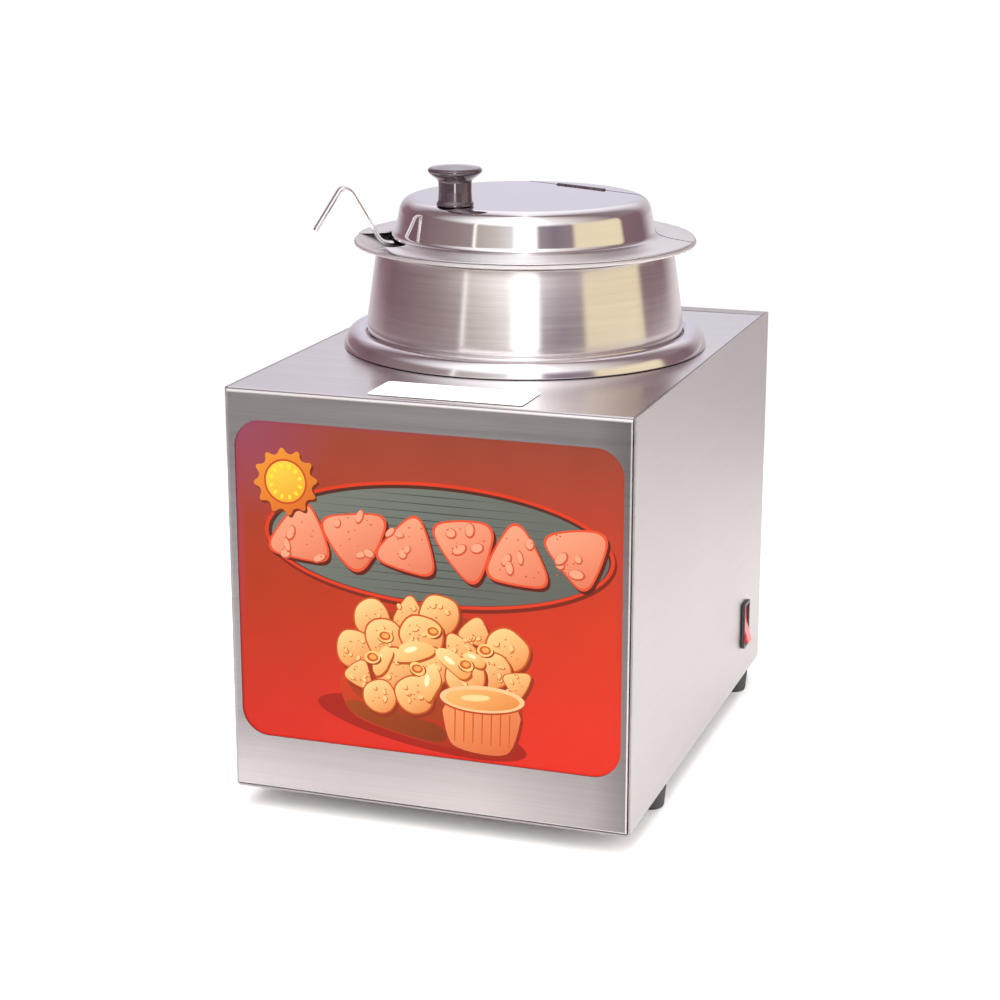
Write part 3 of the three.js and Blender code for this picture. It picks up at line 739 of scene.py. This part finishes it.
def sign_chip(shapes, rng, x, z, size, angle, corners, tones):
    """One printed chip: a soft shadow, a dark rim, a lit face, a few toasted blisters and pale grains."""
    middle = Vector((x, z))
    blister = flat(*tones["blister"])
    pale = toward(linear(*tones["dark"]), linear(*tones["light"]), 0.85)
    outline = moved(chip_outline(size, rng, corners), x, z, angle)
    inner = [middle + (q - middle) * 0.92 for q in outline]
    shapes.append((moved(outline, 1.5, -1.9), flat(*tones["shadow"])))
    shapes.append((outline, flat(*tones["rim"])))
    shapes.append((inner, lit(x, z, size, tones["dark"], tones["light"])))
    for _ in range(4):
        spot = middle + Vector((rng.uniform(-0.45, 0.45), rng.uniform(-0.45, 0.45))) * size
        wide, tall = rng.uniform(0.10, 0.2) * size, rng.uniform(0.07, 0.14) * size
        tilt = rng.uniform(0, 180)
        shapes.append((oval(spot.x + 0.4, spot.y - 0.4, wide, tall, 12, tilt), blister))
        shapes.append((oval(spot.x, spot.y, wide * 0.82, tall * 0.78, 12, tilt), lambda p: pale))
    for _ in range(8):
        spot = middle + Vector((rng.uniform(-0.5, 0.5), rng.uniform(-0.5, 0.5))) * size
        shapes.append((oval(spot.x, spot.y, rng.uniform(0.4, 0.8), rng.uniform(0.3, 0.6), 7), blister))


def plaque_shapes():
    """The ribbed oval plaque behind the row of chips."""
    x, z = 6, 178
    shapes = [
        (oval(x + 0.8, z - 1.6, 107.5, 37.6, 72), flat(128, 40, 24)),
        (oval(x, z, 107, 37, 72), flat(222, 62, 34)),
        (oval(x, z, 104.6, 35, 72), flat(84, 46, 36)),
        (oval(x + 0.6, z - 0.8, 103, 33.8, 72), lit(x, z, 60, (96, 98, 90), (118, 122, 112))),
    ]
    for k in range(13):
        off = -28.8 + k * 4.8
        half = 101 * math.sqrt(1 - (off / 33.8) ** 2) - 3
        corners = (x - half, z + off), (x, z + off - 0.35), (x + half, z + off), (x, z + off + 0.35)
        shapes.append(([Vector(p) for p in corners], flat(74, 78, 74)))
    return shapes


def sun_shapes():
    """The sun with its 12 rays and a ring of bright dots."""
    x, z = -87, 208
    middle = Vector((x, z))
    rays = []
    for k in range(24):
        reach = 22 if k % 2 == 0 else 15.5
        a = math.tau * k / 24 + 0.1
        rays.append(middle + Vector((math.cos(a), math.sin(a))) * reach)
    outline = smooth_outline(rays)
    shapes = [
        (moved(outline, 1.2, -1.4), flat(120, 48, 24)),
        (outline, lit(x, z, 22, (212, 96, 38), (238, 150, 56))),
        (oval(x, z, 13.6, 13.6, 40), flat(198, 80, 36)),
        (oval(x, z, 12.4, 12.4, 40), lit(x, z, 12, (236, 160, 44), (250, 208, 74))),
    ]
    for k in range(12):
        a = math.tau * (k + 0.5) / 12
        spot = middle + Vector((math.cos(a), math.sin(a))) * 9.4
        shapes.append((oval(spot.x, spot.y, 1.5, 1.1, 10, math.degrees(a)), flat(252, 222, 60)))
    return shapes


def sign_shapes():
    """Every shape on the sign from the back to the front."""
    rng = random.Random(7)
    shapes = plaque_shapes()
    for k in range(6):
        angle = (0, 180)[k % 2] + rng.uniform(-9, 9)
        z = 178 + (1.5 if k % 2 else -3.5)
        sign_chip(shapes, rng, -78 + k * 33.6, z, 26.5, angle, 3, SALMON)
    return shapes + sun_shapes() + tray_shapes(rng)


def tray_shapes(rng):
    """A tray with a heap of chips, melted cheese and pepper rings, and a cup of dip before it."""
    tray = (-57, 98), (-20, 92), (30, 84), (62, 92), (54, 56), (14, 54), (-30, 62), (-52, 70)
    base = (-53, 80), (-10, 72), (12, 68), (12, 56), (-26, 62), (-50, 70)
    heap = (-54, 92), (-46, 122), (-20, 138), (14, 140), (48, 128), (60, 106), (52, 78), (0, 70), (-40, 76)
    shapes = [
        (oval(-4, 66, 66, 13, 48, -8), flat(166, 34, 20)),
        (smooth_outline(tray), lit(0, 76, 50, (150, 34, 18), (206, 66, 32))),
        (smooth_outline(base), lit(-20, 68, 40, (122, 44, 14), (168, 74, 24))),
        (smooth_outline(heap, 3), flat(166, 62, 24)),
    ]
    chips = [  # x, z, size and number of corners
        (-34, 130, 13, 9), (-12, 135, 14, 3), (8, 136, 14, 9), (30, 127, 13, 3), (49, 119, 15, 9),
        (-46, 110, 13, 9), (-26, 118, 14, 9), (-3, 122, 15, 9), (20, 117, 14, 3), (40, 106, 13, 9),
        (55, 100, 12, 3), (-42, 94, 13, 3), (-20, 100, 15, 9), (2, 104, 14, 9), (24, 100, 14, 9),
        (-30, 82, 12, 9), (-8, 86, 13, 9),
    ]
    for x, z, size, corners in chips:
        sign_chip(shapes, rng, x, z, size, rng.uniform(0, 360), corners, TOASTED)
    cheese = (-8, 112, 14, 20), (16, 108, 13, -35), (-28, 104, 11, 60), (2, 94, 13, 80), (30, 112, 9, -20)
    for x, z, size, angle in cheese:
        blob = []
        for c, s in circle(9):
            blob.append(Vector((c * size * rng.uniform(0.7, 1.15), s * size * rng.uniform(0.35, 0.6))))
        outline = smooth_outline(moved(blob, x, z, angle))
        shapes.append((moved(outline, 1.0, -1.5), flat(184, 84, 28)))
        shapes.append((outline, lit(x, z, size, (236, 140, 52), (255, 220, 150))))
        shapes.append((oval(x - 2, z + 1.4, size * 0.3, size * 0.12, 14, angle), flat(255, 236, 188)))
    for x, z in ((-26, 120), (4, 126), (-34, 106), (24, 108), (-6, 102), (36, 118)):
        shapes.append((oval(x + 0.5, z - 0.7, 5.2, 4.0, 20), flat(156, 62, 22)))
        shapes.append((oval(x, z, 5.0, 3.9, 20, rng.uniform(-30, 30)), flat(252, 200, 120)))
        shapes.append((oval(x, z, 3.6, 2.7, 20), flat(206, 92, 40)))
        shapes.append((oval(x + 0.2, z + 0.2, 2.3, 1.6, 12), flat(244, 168, 84)))
    return shapes + cup_shapes()


def cup_shapes():
    """The ribbed cup of dip."""
    wall = [Vector(p) for p in ((8, 88), (60, 90), (54, 60), (46, 53), (18, 55), (12, 62))]
    shapes = [
        (smooth_outline(moved(wall, 1.6, -2.0)), flat(160, 40, 20)),
        (smooth_outline(wall), lit(34, 70, 30, (212, 84, 44), (244, 156, 96))),
    ]
    for k in range(7):
        x = 17 + k * 5.6
        rib = (x, 80), (x + 0.9, 80), (x + 0.3, 60), (x - 0.3, 60)
        shapes.append(([Vector(p) for p in rib], flat(204, 84, 42)))
    return shapes + [
        (oval(34, 87, 26.5, 8.6, 44, 2), flat(186, 72, 34)),
        (oval(34, 87.8, 26, 8.2, 44, 2), flat(252, 196, 140)),
        (oval(34, 87.4, 23, 6.4, 44, 2), lit(34, 87, 18, (222, 118, 52), (250, 190, 112))),
        (oval(30, 88.2, 9, 2.0, 30, 6), flat(252, 212, 146)),
    ]


def sign_lens():
    """The printed lens: a closed slab whose front is cut along the artwork's edges and coloured."""
    half, front, rear, low, high = 120.4, 1.6, 3.6, 36.0, 247.5
    edge = [Vector(p) for p in ((-half, low), (half, low), (half, high), (-half, high))]
    shapes = [(edge, sign_field)] + sign_shapes()
    points, loops = [], []
    for outline, _ in shapes:
        twice_area = sum(a.x * b.y - b.x * a.y for a, b in zip(outline, outline[1:] + outline[:1]))
        loops.append(list(range(len(points), len(points) + len(outline))))
        points += outline if twice_area > 0 else outline[::-1]
    step = 7.0
    columns, rows = int(2 * half / step), int((high - low) / step)
    for i in range(1, columns):
        for j in range(1, rows):
            points.append(Vector((-half + 2 * half * i / columns, low + (high - low) * j / rows)))
    found = geometry.delaunay_2d_cdt(points, [], loops, 1, 1e-5)
    drawn, triangles, owners = found[0], found[2], found[5]
    edges = dict.fromkeys((a, b) for tri in triangles for a, b in zip(tri, tri[1:] + tri[:1]))
    rim = {a: b for a, b in edges if (b, a) not in edges}
    loop = [next(iter(rim))]
    while rim[loop[-1]] != loop[0]:
        loop.append(rim[loop[-1]])
    verts = [cabinet(p.x, front, p.y) * MM for p in drawn]
    verts += [cabinet(drawn[i].x, rear, drawn[i].y) * MM for i in loop]
    back = {i: len(drawn) + k for k, i in enumerate(loop)}
    faces = [list(t) for t in triangles]
    faces += [[b, a, back[a], back[b]] for a, b in zip(loop, loop[1:] + loop[:1])]
    faces.append([back[i] for i in reversed(loop)])
    mesh = bpy.data.meshes.new("lens")
    mesh.from_pydata(verts, [], faces)
    paint = mesh.color_attributes.new("paint", "FLOAT_COLOR", "CORNER")
    edge_colour = linear(150, 30, 24)
    for index, face in enumerate(mesh.polygons):
        top = shapes[max(owners[index])][1] if index < len(triangles) and owners[index] else None
        for corner in face.loop_indices:
            vertex = mesh.loops[corner].vertex_index
            paint.data[corner].color = top(drawn[vertex]) if top else edge_colour
    piece(linked("lens", mesh), "sign_lens", "cabinet", sign_material(), 30)


def sign_material():
    """Backlit print: the painted colours glow, with a paper-like grain and a soft gloss over them."""
    g = Graph(bpy.data.materials.new("sign_print"))
    paint = g.add("ShaderNodeVertexColor", {"layer_name": "paint"}).outputs[0]
    grain = g.noise(g.where, 1500.0, 4.0, 0.7)
    cloud = g.noise(g.where, 40.0, 3.0)
    light = g.plus(g.ranged(grain, -0.05, 0.05), g.ranged(cloud, 0.97, 1.03))
    return g.surface({
        "Base Color": g.scaled(paint, 0.12), "Roughness": g.ranged(cloud, 0.28, 0.36),
        "Emission Color": g.scaled(paint, light), "Emission Strength": 0.92,
        "Specular IOR Level": 0.12, "Normal": g.bump(grain, 0.05, 0.00003),
    })


# ---- well, collar, pot ----


def trim_and_well():
    """What stays in the deck: the trim ring, its gasket and the water well below them."""
    trim = rounded_path([
        [92.2, 3.6], [92.2, 4.9], [99, 4.9, 1], [101.5, 10.4, 3.2], [111.2, 10.3, 6.2], [114.2, 0.4],
    ], 14, 0.3)
    ring = lathe("trim", ribbon(trim, SHEET), AROUND, POT_PLACE)
    piece(ring, "well_trim_ring", "cabinet", ring_steel)
    gasket = rounded_path([[97, 0.4], [108, 0.4], [108, 1.8], [97, 1.8], [97, 0.4]], 4, 0.2)[:-1]
    piece(lathe("gasket", gasket, 128, POT_PLACE), "well_gasket", "cabinet", rubber)
    wall = rounded_path([[108, 2.7], [90.5, 2.7, 2], [90.5, -112, 8], [0, -112]])
    vessel = lathe("vessel", ribbon(wall, 1, (True, False)), 128, POT_PLACE)
    join(vessel, drum(3, -134, -112, 32, POT_PLACE))
    piece(vessel, "well_vessel", "cabinet", well_steel)


def collar_and_pot():
    """What lifts out of the well: the adapter collar and the pot whose flared rim stands on it."""
    wall = rounded_path([[88, 6.6], [98.6, 6.6, 4], [99.4, 14, 3], [92.67, 61.3]], 10, 0.5)
    collar = lathe("collar", ribbon(wall, SHEET), AROUND, POT_PLACE)
    piece(collar, "adapter_collar", "collar", collar_steel)
    wall = rounded_path([
        [106.7, 64.5], [106.8, 66.2, 0.8], [104.6, 66.2, 1], [91, 61.6, 3], [82.5, 57.5, 3], [82.5, 40],
        [80, -95, 9], [0, -95],
    ])
    pot = lathe("pot", ribbon(wall, 1, (True, False)), AROUND, POT_PLACE)
    piece(pot, "cheese_pot", "pot", pot_steel)


# ---- lid ----


def lid_shell():
    """The whole lid, which lid() cuts into its hinged front and its rear part."""
    outline = [[0, 93.4], [70, 92.6], [77, 91.6, 6.5], [81.6, 69.6, 3], [90, 68, 4], [106.3, 67.4]]
    path = rounded_path(outline, 10, 0.5)
    return lathe("shell", ribbon(path, 0.9, (False, True)), 256, LID_PLACE)


def notch_cutter():
    """The space for the ladle: a wedge through the brim with rounded inner corners."""
    bearing, spread = LADLE_BEARING - LID_TURN, math.radians(20)
    foot, corner = 83.6, 0.14  # its inner radius, and the share of its half width that a corner takes
    corners = []
    for k in range(33):
        t = k / 32 * 2 - 1
        into_corner = max(0.0, abs(t) - (1 - corner)) ** 1.5 / corner ** 1.5
        corners.append((bearing + spread * t, foot + 3.8 * into_corner))
    corners += [(a, BEYOND) for a in (bearing + spread, bearing, bearing - spread)]
    outline = [Vector((math.cos(a) * r, math.sin(a) * r)) for a, r in corners]
    return prism("notch", outline, 55, 85, "Z", LID_PLACE)


def raise_notch_edge(obj):
    """The brim's near corner lifts in a low arch where the ladle's handle passes beside it."""
    flare, top, width, bearing = 90, 2.6, 4.0, 24
    for v in obj.data.vertices:
        p = v.co / MM - POT
        radius = math.hypot(p.x, p.y)
        if radius < flare:
            continue
        off = math.degrees((math.atan2(p.y, p.x) - LADLE_BEARING + math.pi) % math.tau - math.pi)
        arch = top * math.exp(-(((off - bearing) / width) ** 2))
        v.co.z += arch * min(1.0, (radius - flare) / 12) * MM


def lid():
    """The lid's front, cut for the notch and the knob's screw, and its rear, cut for the hinge."""
    slot = (-HINGE_HALF - 0.8, HINGE_HALF + 0.8), (HINGE_Y - 1.9, HINGE_Y + 1.9), (88, 98)
    wide, high = (-BEYOND, BEYOND), (40, 120)
    front = lid_shell()
    hole = drum(SCREW_HOLE, 80, 110, 32, LID_PLACE @ place(0, KNOB_Y, 0))
    behind = block(wide, (HINGE_Y - 0.5, BEYOND), high, LID_PLACE)
    cut(front, behind, block(*slot, LID_PLACE), notch_cutter(), hole)
    raise_notch_edge(front)
    piece(front, "lid_front", "lid_flap", mirror_steel, 40)
    rear = lid_shell()
    ahead = block(wide, (-BEYOND, HINGE_Y + 1.1), high, LID_PLACE)
    cut(rear, ahead, block(*slot, LID_PLACE))
    piece(rear, "lid_rear", "lid_base", mirror_steel, 40)


def hinge_leaf(side, node, body, knuckles):
    """One leaf under the lid's top with its share of the five knuckles."""
    hinge_place = LID_PLACE @ place(0, HINGE_Y, HINGE_Z)
    along_x = hinge_place @ turn(90, "Y")
    leaf = block((-HINGE_HALF, HINGE_HALF), sorted((side * 0.9, side * 11)), (-1.6, -0.9), hinge_place)
    join(leaf, *[drum(1.5, k * KNUCKLE - 3.8, k * KNUCKLE + 3.8, 28, along_x) for k in knuckles])
    gaps = [
        block((k * KNUCKLE - 4.2, k * KNUCKLE + 4.2), (-2.2, 2.2), (-4, 4), hinge_place)
        for k in range(-2, 3) if k not in knuckles
    ]
    cut(leaf, *gaps, drum(1.1, -30, 30, 24, along_x))
    soften(leaf, 0.12, 2)
    piece(leaf, node, body, hinge_steel)


def hinge():
    hinge_leaf(-1, "hinge_leaf_front", "lid_flap", (-1, 1))
    hinge_leaf(1, "hinge_leaf_rear", "lid_base", (-2, 0, 2))
    end = HINGE_HALF
    outline = rounded_path([[0, -end], [0.8, -end, 0.25], [0.8, end, 0.25], [0, end]], 4)
    pin = lathe("pin", outline, 24, LID_PLACE @ place(0, HINGE_Y, HINGE_Z, turn(90, "Y")))
    piece(pin, "hinge_pin", "lid_base", hinge_steel)


def knob():
    """The mushroom knob with a blind hole for its screw."""
    outline = rounded_path([
        [2.6, 0.4], [11.4, 0.4, 0.4], [11.4, 1.6, 0.6], [10.4, 3.0, 0.8], [10.1, 9], [10.2, 15.6, 1.6],
        [14.6, 18.8, 1.6], [16.5, 20.6, 0.9], [16.5, 22.0, 0.6], [15.4, 23.2, 0.9], [12.6, 23.5, 0.9],
        [6.4, 24.3, 1.5], [0, 24.6], [0, 12], [2.6, 12], [2.6, 0.4],
    ], 6)[:-1]
    where = LID_PLACE @ place(0, KNOB_Y, 93.1)
    piece(lathe("knob", outline, 96, where), "lid_knob", "lid_flap", phenolic, 45)
    pan_screw("knob_screw", "lid_flap", 4.4, 2.4, 2, 11, LID_PLACE @ place(0, KNOB_Y, 91.9))


# ---- ladle ----


def strip(name, path, thick, wide, matrix):
    """A flat strip with rounded edges and ends, bent along a path of (x, z) points. Its section lies
    between an ellipse and a rectangle, and two shrinking rings close each end."""
    around = 16
    verts, faces, rings = [], [], []
    last = len(path) - 1
    section = []
    for c, s in circle(around):
        section.append((math.copysign(abs(c) ** 0.45, c) * wide, math.copysign(abs(s) ** 0.7, s) * thick))

    def skin(ring, after):
        for k in range(around):
            j = (k + 1) % around
            faces.append([ring[k], ring[j], after[j], after[k]])

    for i, p in enumerate(path):
        along = (path[min(i + 1, last)] - path[max(i - 1, 0)]).normalized()
        normal = Vector((-along.y, along.x))
        rings.append(list(range(len(verts), len(verts) + around)))
        for across, out in section:
            q = p + normal * out
            verts.append((q.x, across, q.y))
    for ring, after in zip(rings, rings[1:]):
        skin(ring, after)
    for ring, end, inner in ((rings[0], path[0], path[1]), (rings[-1], path[-1], path[-2])):
        out = (end - inner).normalized()
        previous = ring
        for scale, push in ((0.86, 0.35), (0.5, 0.62)):
            grown = list(range(len(verts), len(verts) + around))
            for index in ring:
                x, y, z = verts[index]
                x = end.x + (x - end.x) * scale + out.x * push
                z = end.y + (z - end.y) * scale + out.y * push
                verts.append((x, y * scale, z))
            skin(previous, grown)
            previous = grown
        faces.append(list(previous))
    return make_object(name, verts, faces, matrix)


def ladle():
    """The bent strip that hooks over the pot's rim, and the bowl at its foot."""
    path = rounded_path([
        [69.8, -73], [69.8, -58, 6], [77, 56], [79.4, 66, 5], [91, 66.4, 5], [110.5, 100, 3],
        [116, 101.2, 2.5], [132.4, 75.6],
    ], 10, 1.5)
    handle = strip("handle", path, 1.3, 3.2, LADLE_PLACE)
    piece(handle, "ladle_handle", "ladle", ladle_steel, 60)
    wall = rounded_path([[0, -82], [15, -82, 6], [25.4, -74, 6], [25.6, -61]])
    bowl = lathe("bowl", ribbon(wall, 0.9, (False, True)), 72, LADLE_PLACE @ place(42, 0, 0))
    piece(bowl, "ladle_bowl", "ladle", ladle_steel)


# ---- switch, gland, plate ----


def switch():
    """The switch's black bezel and housing with two terminals, and its red rocker tipped to off."""
    where = place(*cabinet(HALF, SWITCH_Y, SWITCH_Z))
    bezel = prism("bezel", rounded_rectangle(-7.5, 7.5, -16, 16, 1.6, 5), 0.3, 2.3, "X", where)
    join(
        bezel,
        block((-22, 1), (-6.4, 6.4), (-14.6, 14.6), where),
        block((-30, -20), (-0.4, 0.4), (-9, -3), where),
        block((-30, -20), (-0.4, 0.4), (3, 9), where),
    )
    cut(bezel, block((-13, 5), (-5.5, 5.5), (-13.9, 13.9), where))
    soften(bezel, 0.4, 3)
    piece(bezel, "switch_housing", "cabinet", black_plastic)
    face = (4.2, -13), (3.6, -8), (3.0, -3), (2.8, 0), (3.0, 3), (3.6, 8), (4.2, 13)
    outline = [(-5, -5), (-3, -12), *face, (-3, 12), (-5, 5)]
    rocker_place = where @ place(-1.5, 0, 0) @ turn(-10, "Y")
    button = prism("rocker", outline, -5.1, 5.1, "Y", rocker_place)
    soften(button, 0.5, 3, 30)
    # The rocker's red plastic carries a painted glow.
    piece(button, "power_rocker", "rocker", red_plastic_painted_glow, 35)


def cord_inlet():
    """The bushing in the rear panel that a cord would come in through."""
    outline = rounded_path([
        [4.5, -14], [8, -14], [8, 0.4], [11.5, 0.4, 0.4], [11.5, 4, 1], [8.6, 4.8, 0.8], [8, 8, 1],
        [5.2, 8, 0.6], [4.5, 7.2, 0.4], [4.5, -14],
    ], 5)[:-1]
    bushing = lathe("bushing", outline, 64, facing_rear(CORD_X, DEPTH, CORD_Z))
    piece(bushing, "cord_gland", "cabinet", black_plastic)


def info_plate():
    outline = rounded_rectangle(-38, 56, 8, 43, 2.5, 6)
    plate = prism("plate", outline, DECK + 0.3, DECK + 0.8, "Z", IN_CABINET)
    soften(plate, 0.12, 2)
    piece(plate, "blank_info_plate", "cabinet", white_label)


def carried_over():
    """The inner pieces keep their CAD meshes and get procedural materials."""
    finishes = [
        (opal, ["sign_diffuser"]),
        (white_paint, ["sign_reflector"]),
        (ceramic, ["lamp_socket", "terminal_block"]),
        (bulb_glass, ["sign_lamp"]),
        (wool, ["well_insulation"]),
        (black_plastic, ["control_thermostat", "high_limit_cutout", "gland_locknut"]),
        (zinc_steel, ["sign_channel_left", "sign_channel_right", "lamp_bracket"]),
        (zinc_steel, ["heating_element", "element_clamp_plate", "element_clamp_nut"]),
        (rubber, [name for name in frame["nodes"] if name.startswith("lead_")]),
    ]
    for material, names in finishes:
        for name in names:
            node = frame["nodes"][name]
            for slot in node.material_slots:
                slot.material = material
            if not node.material_slots:
                node.data.materials.append(material)


# ---- light, floor, camera ----

CAMERA_PLACE = Vector((0.4464, -1.3490, 0.5515))
CAMERA_AZIMUTH = math.atan2(CAMERA_PLACE.y, CAMERA_PLACE.x)

# The studio's bands, each as (degrees round from the camera, sRGB colour and gain).
LEVEL_BAND = [
    (-180, 224, 220, 232), (-163, 200, 190, 198), (-148, 146, 118, 128), (-118, 122, 94, 100),
    (-95, 136, 114, 118), (-66, 150, 132, 132), (-48, 166, 150, 150), (-46, 255, 252, 248, 1.5),
    (-43.5, 190, 178, 172), (-26, 210, 202, 196), (-12, 236, 232, 232), (-6, 255, 255, 255, 1.8),
    (8, 255, 255, 255, 1.8), (12, 160, 148, 156), (26, 138, 124, 136), (42, 152, 136, 140),
    (46, 244, 228, 194), (86, 248, 232, 196), (94, 242, 228, 192), (98, 136, 108, 114),
    (128, 130, 104, 112), (146, 196, 184, 184), (180, 224, 220, 232),
]
LOW_BAND = [
    (-180, 228, 220, 226), (-120, 170, 150, 156), (-60, 160, 148, 156), (-36, 150, 138, 148),
    (-5, 180, 172, 174), (-3, 255, 255, 255, 7.0), (4, 255, 255, 255, 7.0), (6, 190, 182, 184),
    (60, 215, 205, 200), (120, 232, 224, 226), (180, 228, 220, 226),
]
HIGH_BAND = [
    (-180, 250, 247, 252, 1.25), (-150, 196, 184, 192), (-125, 132, 112, 118), (-100, 136, 116, 120),
    (-74, 214, 210, 212), (-50, 252, 250, 250, 1.2), (0, 255, 255, 255, 1.9), (30, 246, 240, 240, 1.1),
    (60, 216, 204, 198), (95, 140, 120, 124), (130, 150, 134, 138), (180, 250, 247, 252, 1.25),
]


def world():
    """A studio of soft bands: what the metal shows depends on where it looks. The camera sees plain white."""
    made = bpy.data.worlds.new("studio")
    bpy.context.scene.world = made
    g = Graph(made, "Generated")
    x, y, height = g.split(g.where)
    angle = g.minus(g.math("ARCTAN2", y, x), CAMERA_AZIMUTH)
    turns = g.math("FRACT", g.plus(g.math("DIVIDE", angle, math.tau), 0.5))

    def ramp(stops):
        node = g.add("ShaderNodeValToRGB", None, {0: turns})
        elements = node.color_ramp.elements
        for k, (degrees, *colour) in enumerate(stops):
            element = elements[k] if k < 2 else elements.new(1.0)
            element.position = (degrees + 180) / 360
            element.color = linear(*colour)
        return node.outputs[0]

    sky = g.tinted(g.ranged(height, 0.0, 1.0, 0.27, 0.44), ramp(LEVEL_BAND), ramp(HIGH_BAND))
    all_round = g.tinted(g.ranged(height, 1.0, 0.0, -0.10, -0.01), sky, ramp(LOW_BAND))
    seen = g.add("ShaderNodeLightPath").outputs["Is Camera Ray"]
    colour = g.tinted(seen, all_round, (1.02, 1.02, 1.02, 1))
    background = g.add("ShaderNodeBackground", None, {"Color": colour})
    output = g.add("ShaderNodeOutputWorld")
    g.tree.links.new(background.outputs[0], output.inputs["Surface"])


def area_light(name, where, target, size, power, colour=(1, 1, 1)):
    """A soft box that lights the object and isn't mirrored in it."""
    data = bpy.data.lights.new(name, "AREA")
    data.shape = "RECTANGLE"
    data.size, data.size_y = size
    data.energy = power
    data.color = colour
    obj = linked(name, data)
    obj.location = where
    obj.rotation_mode = "QUATERNION"
    obj.rotation_quaternion = (Vector(target) - Vector(where)).to_track_quat("-Z", "Y")
    obj.visible_glossy = False
    obj.visible_camera = False


def floor():
    """A round pale floor in rings of small faces, in metres."""
    rings, steps, radius = 10, 96, 0.8
    verts = [(0, 0, 0)]
    for r in range(1, rings + 1):
        out = radius * r / rings
        verts += [(out * x, out * y, 0) for x, y in circle(steps)]
    faces = [[0, 1 + k, 1 + (k + 1) % steps] for k in range(steps)]
    for r in range(rings - 1):
        a, b = 1 + r * steps, 1 + (r + 1) * steps
        faces += [[a + k, b + k, b + (k + 1) % steps, a + (k + 1) % steps] for k in range(steps)]
    made = make_object("floor", verts, faces, scale=1.0)
    pale = mottled("pale_floor", (0.90, 0.90, 0.90), (0.93, 0.93, 0.93), (0.7, 0.8), 30, 0.02)
    made.data.materials.append(pale)


def studio():
    world()
    area_light("key", (-0.5, -1.3, 1.5), (0, 0, 0.1), (2.4, 2.0), 30, (1.0, 0.98, 0.96))
    area_light("top", (0.2, 0.2, 1.9), (0, 0, 0), (2.2, 2.2), 34)
    area_light("side", (1.5, -0.5, 0.9), (0, 0, 0.1), (1.6, 1.2), 16)
    floor()


def camera():
    data = bpy.data.cameras.new("camera")
    data.lens, data.sensor_width = 82.54, 36.0
    data.clip_start, data.clip_end = 0.05, 50.0
    obj = linked("camera", data)
    obj.location = CAMERA_PLACE
    obj.rotation_euler = (math.radians(74.625), 0.0, math.radians(18.898))
    scene = bpy.context.scene
    scene.camera = obj
    scene.view_settings.view_transform = "Standard"
    scene.view_settings.look = "None"


# ---- assembly ----

camera()
studio()
base_chassis()
front_top_cover()
back_panel()
fasteners_and_feet()
sign_lens()
trim_and_well()
collar_and_pot()
lid()
hinge()
knob()
ladle()
switch()
cord_inlet()
info_plate()
carried_over()
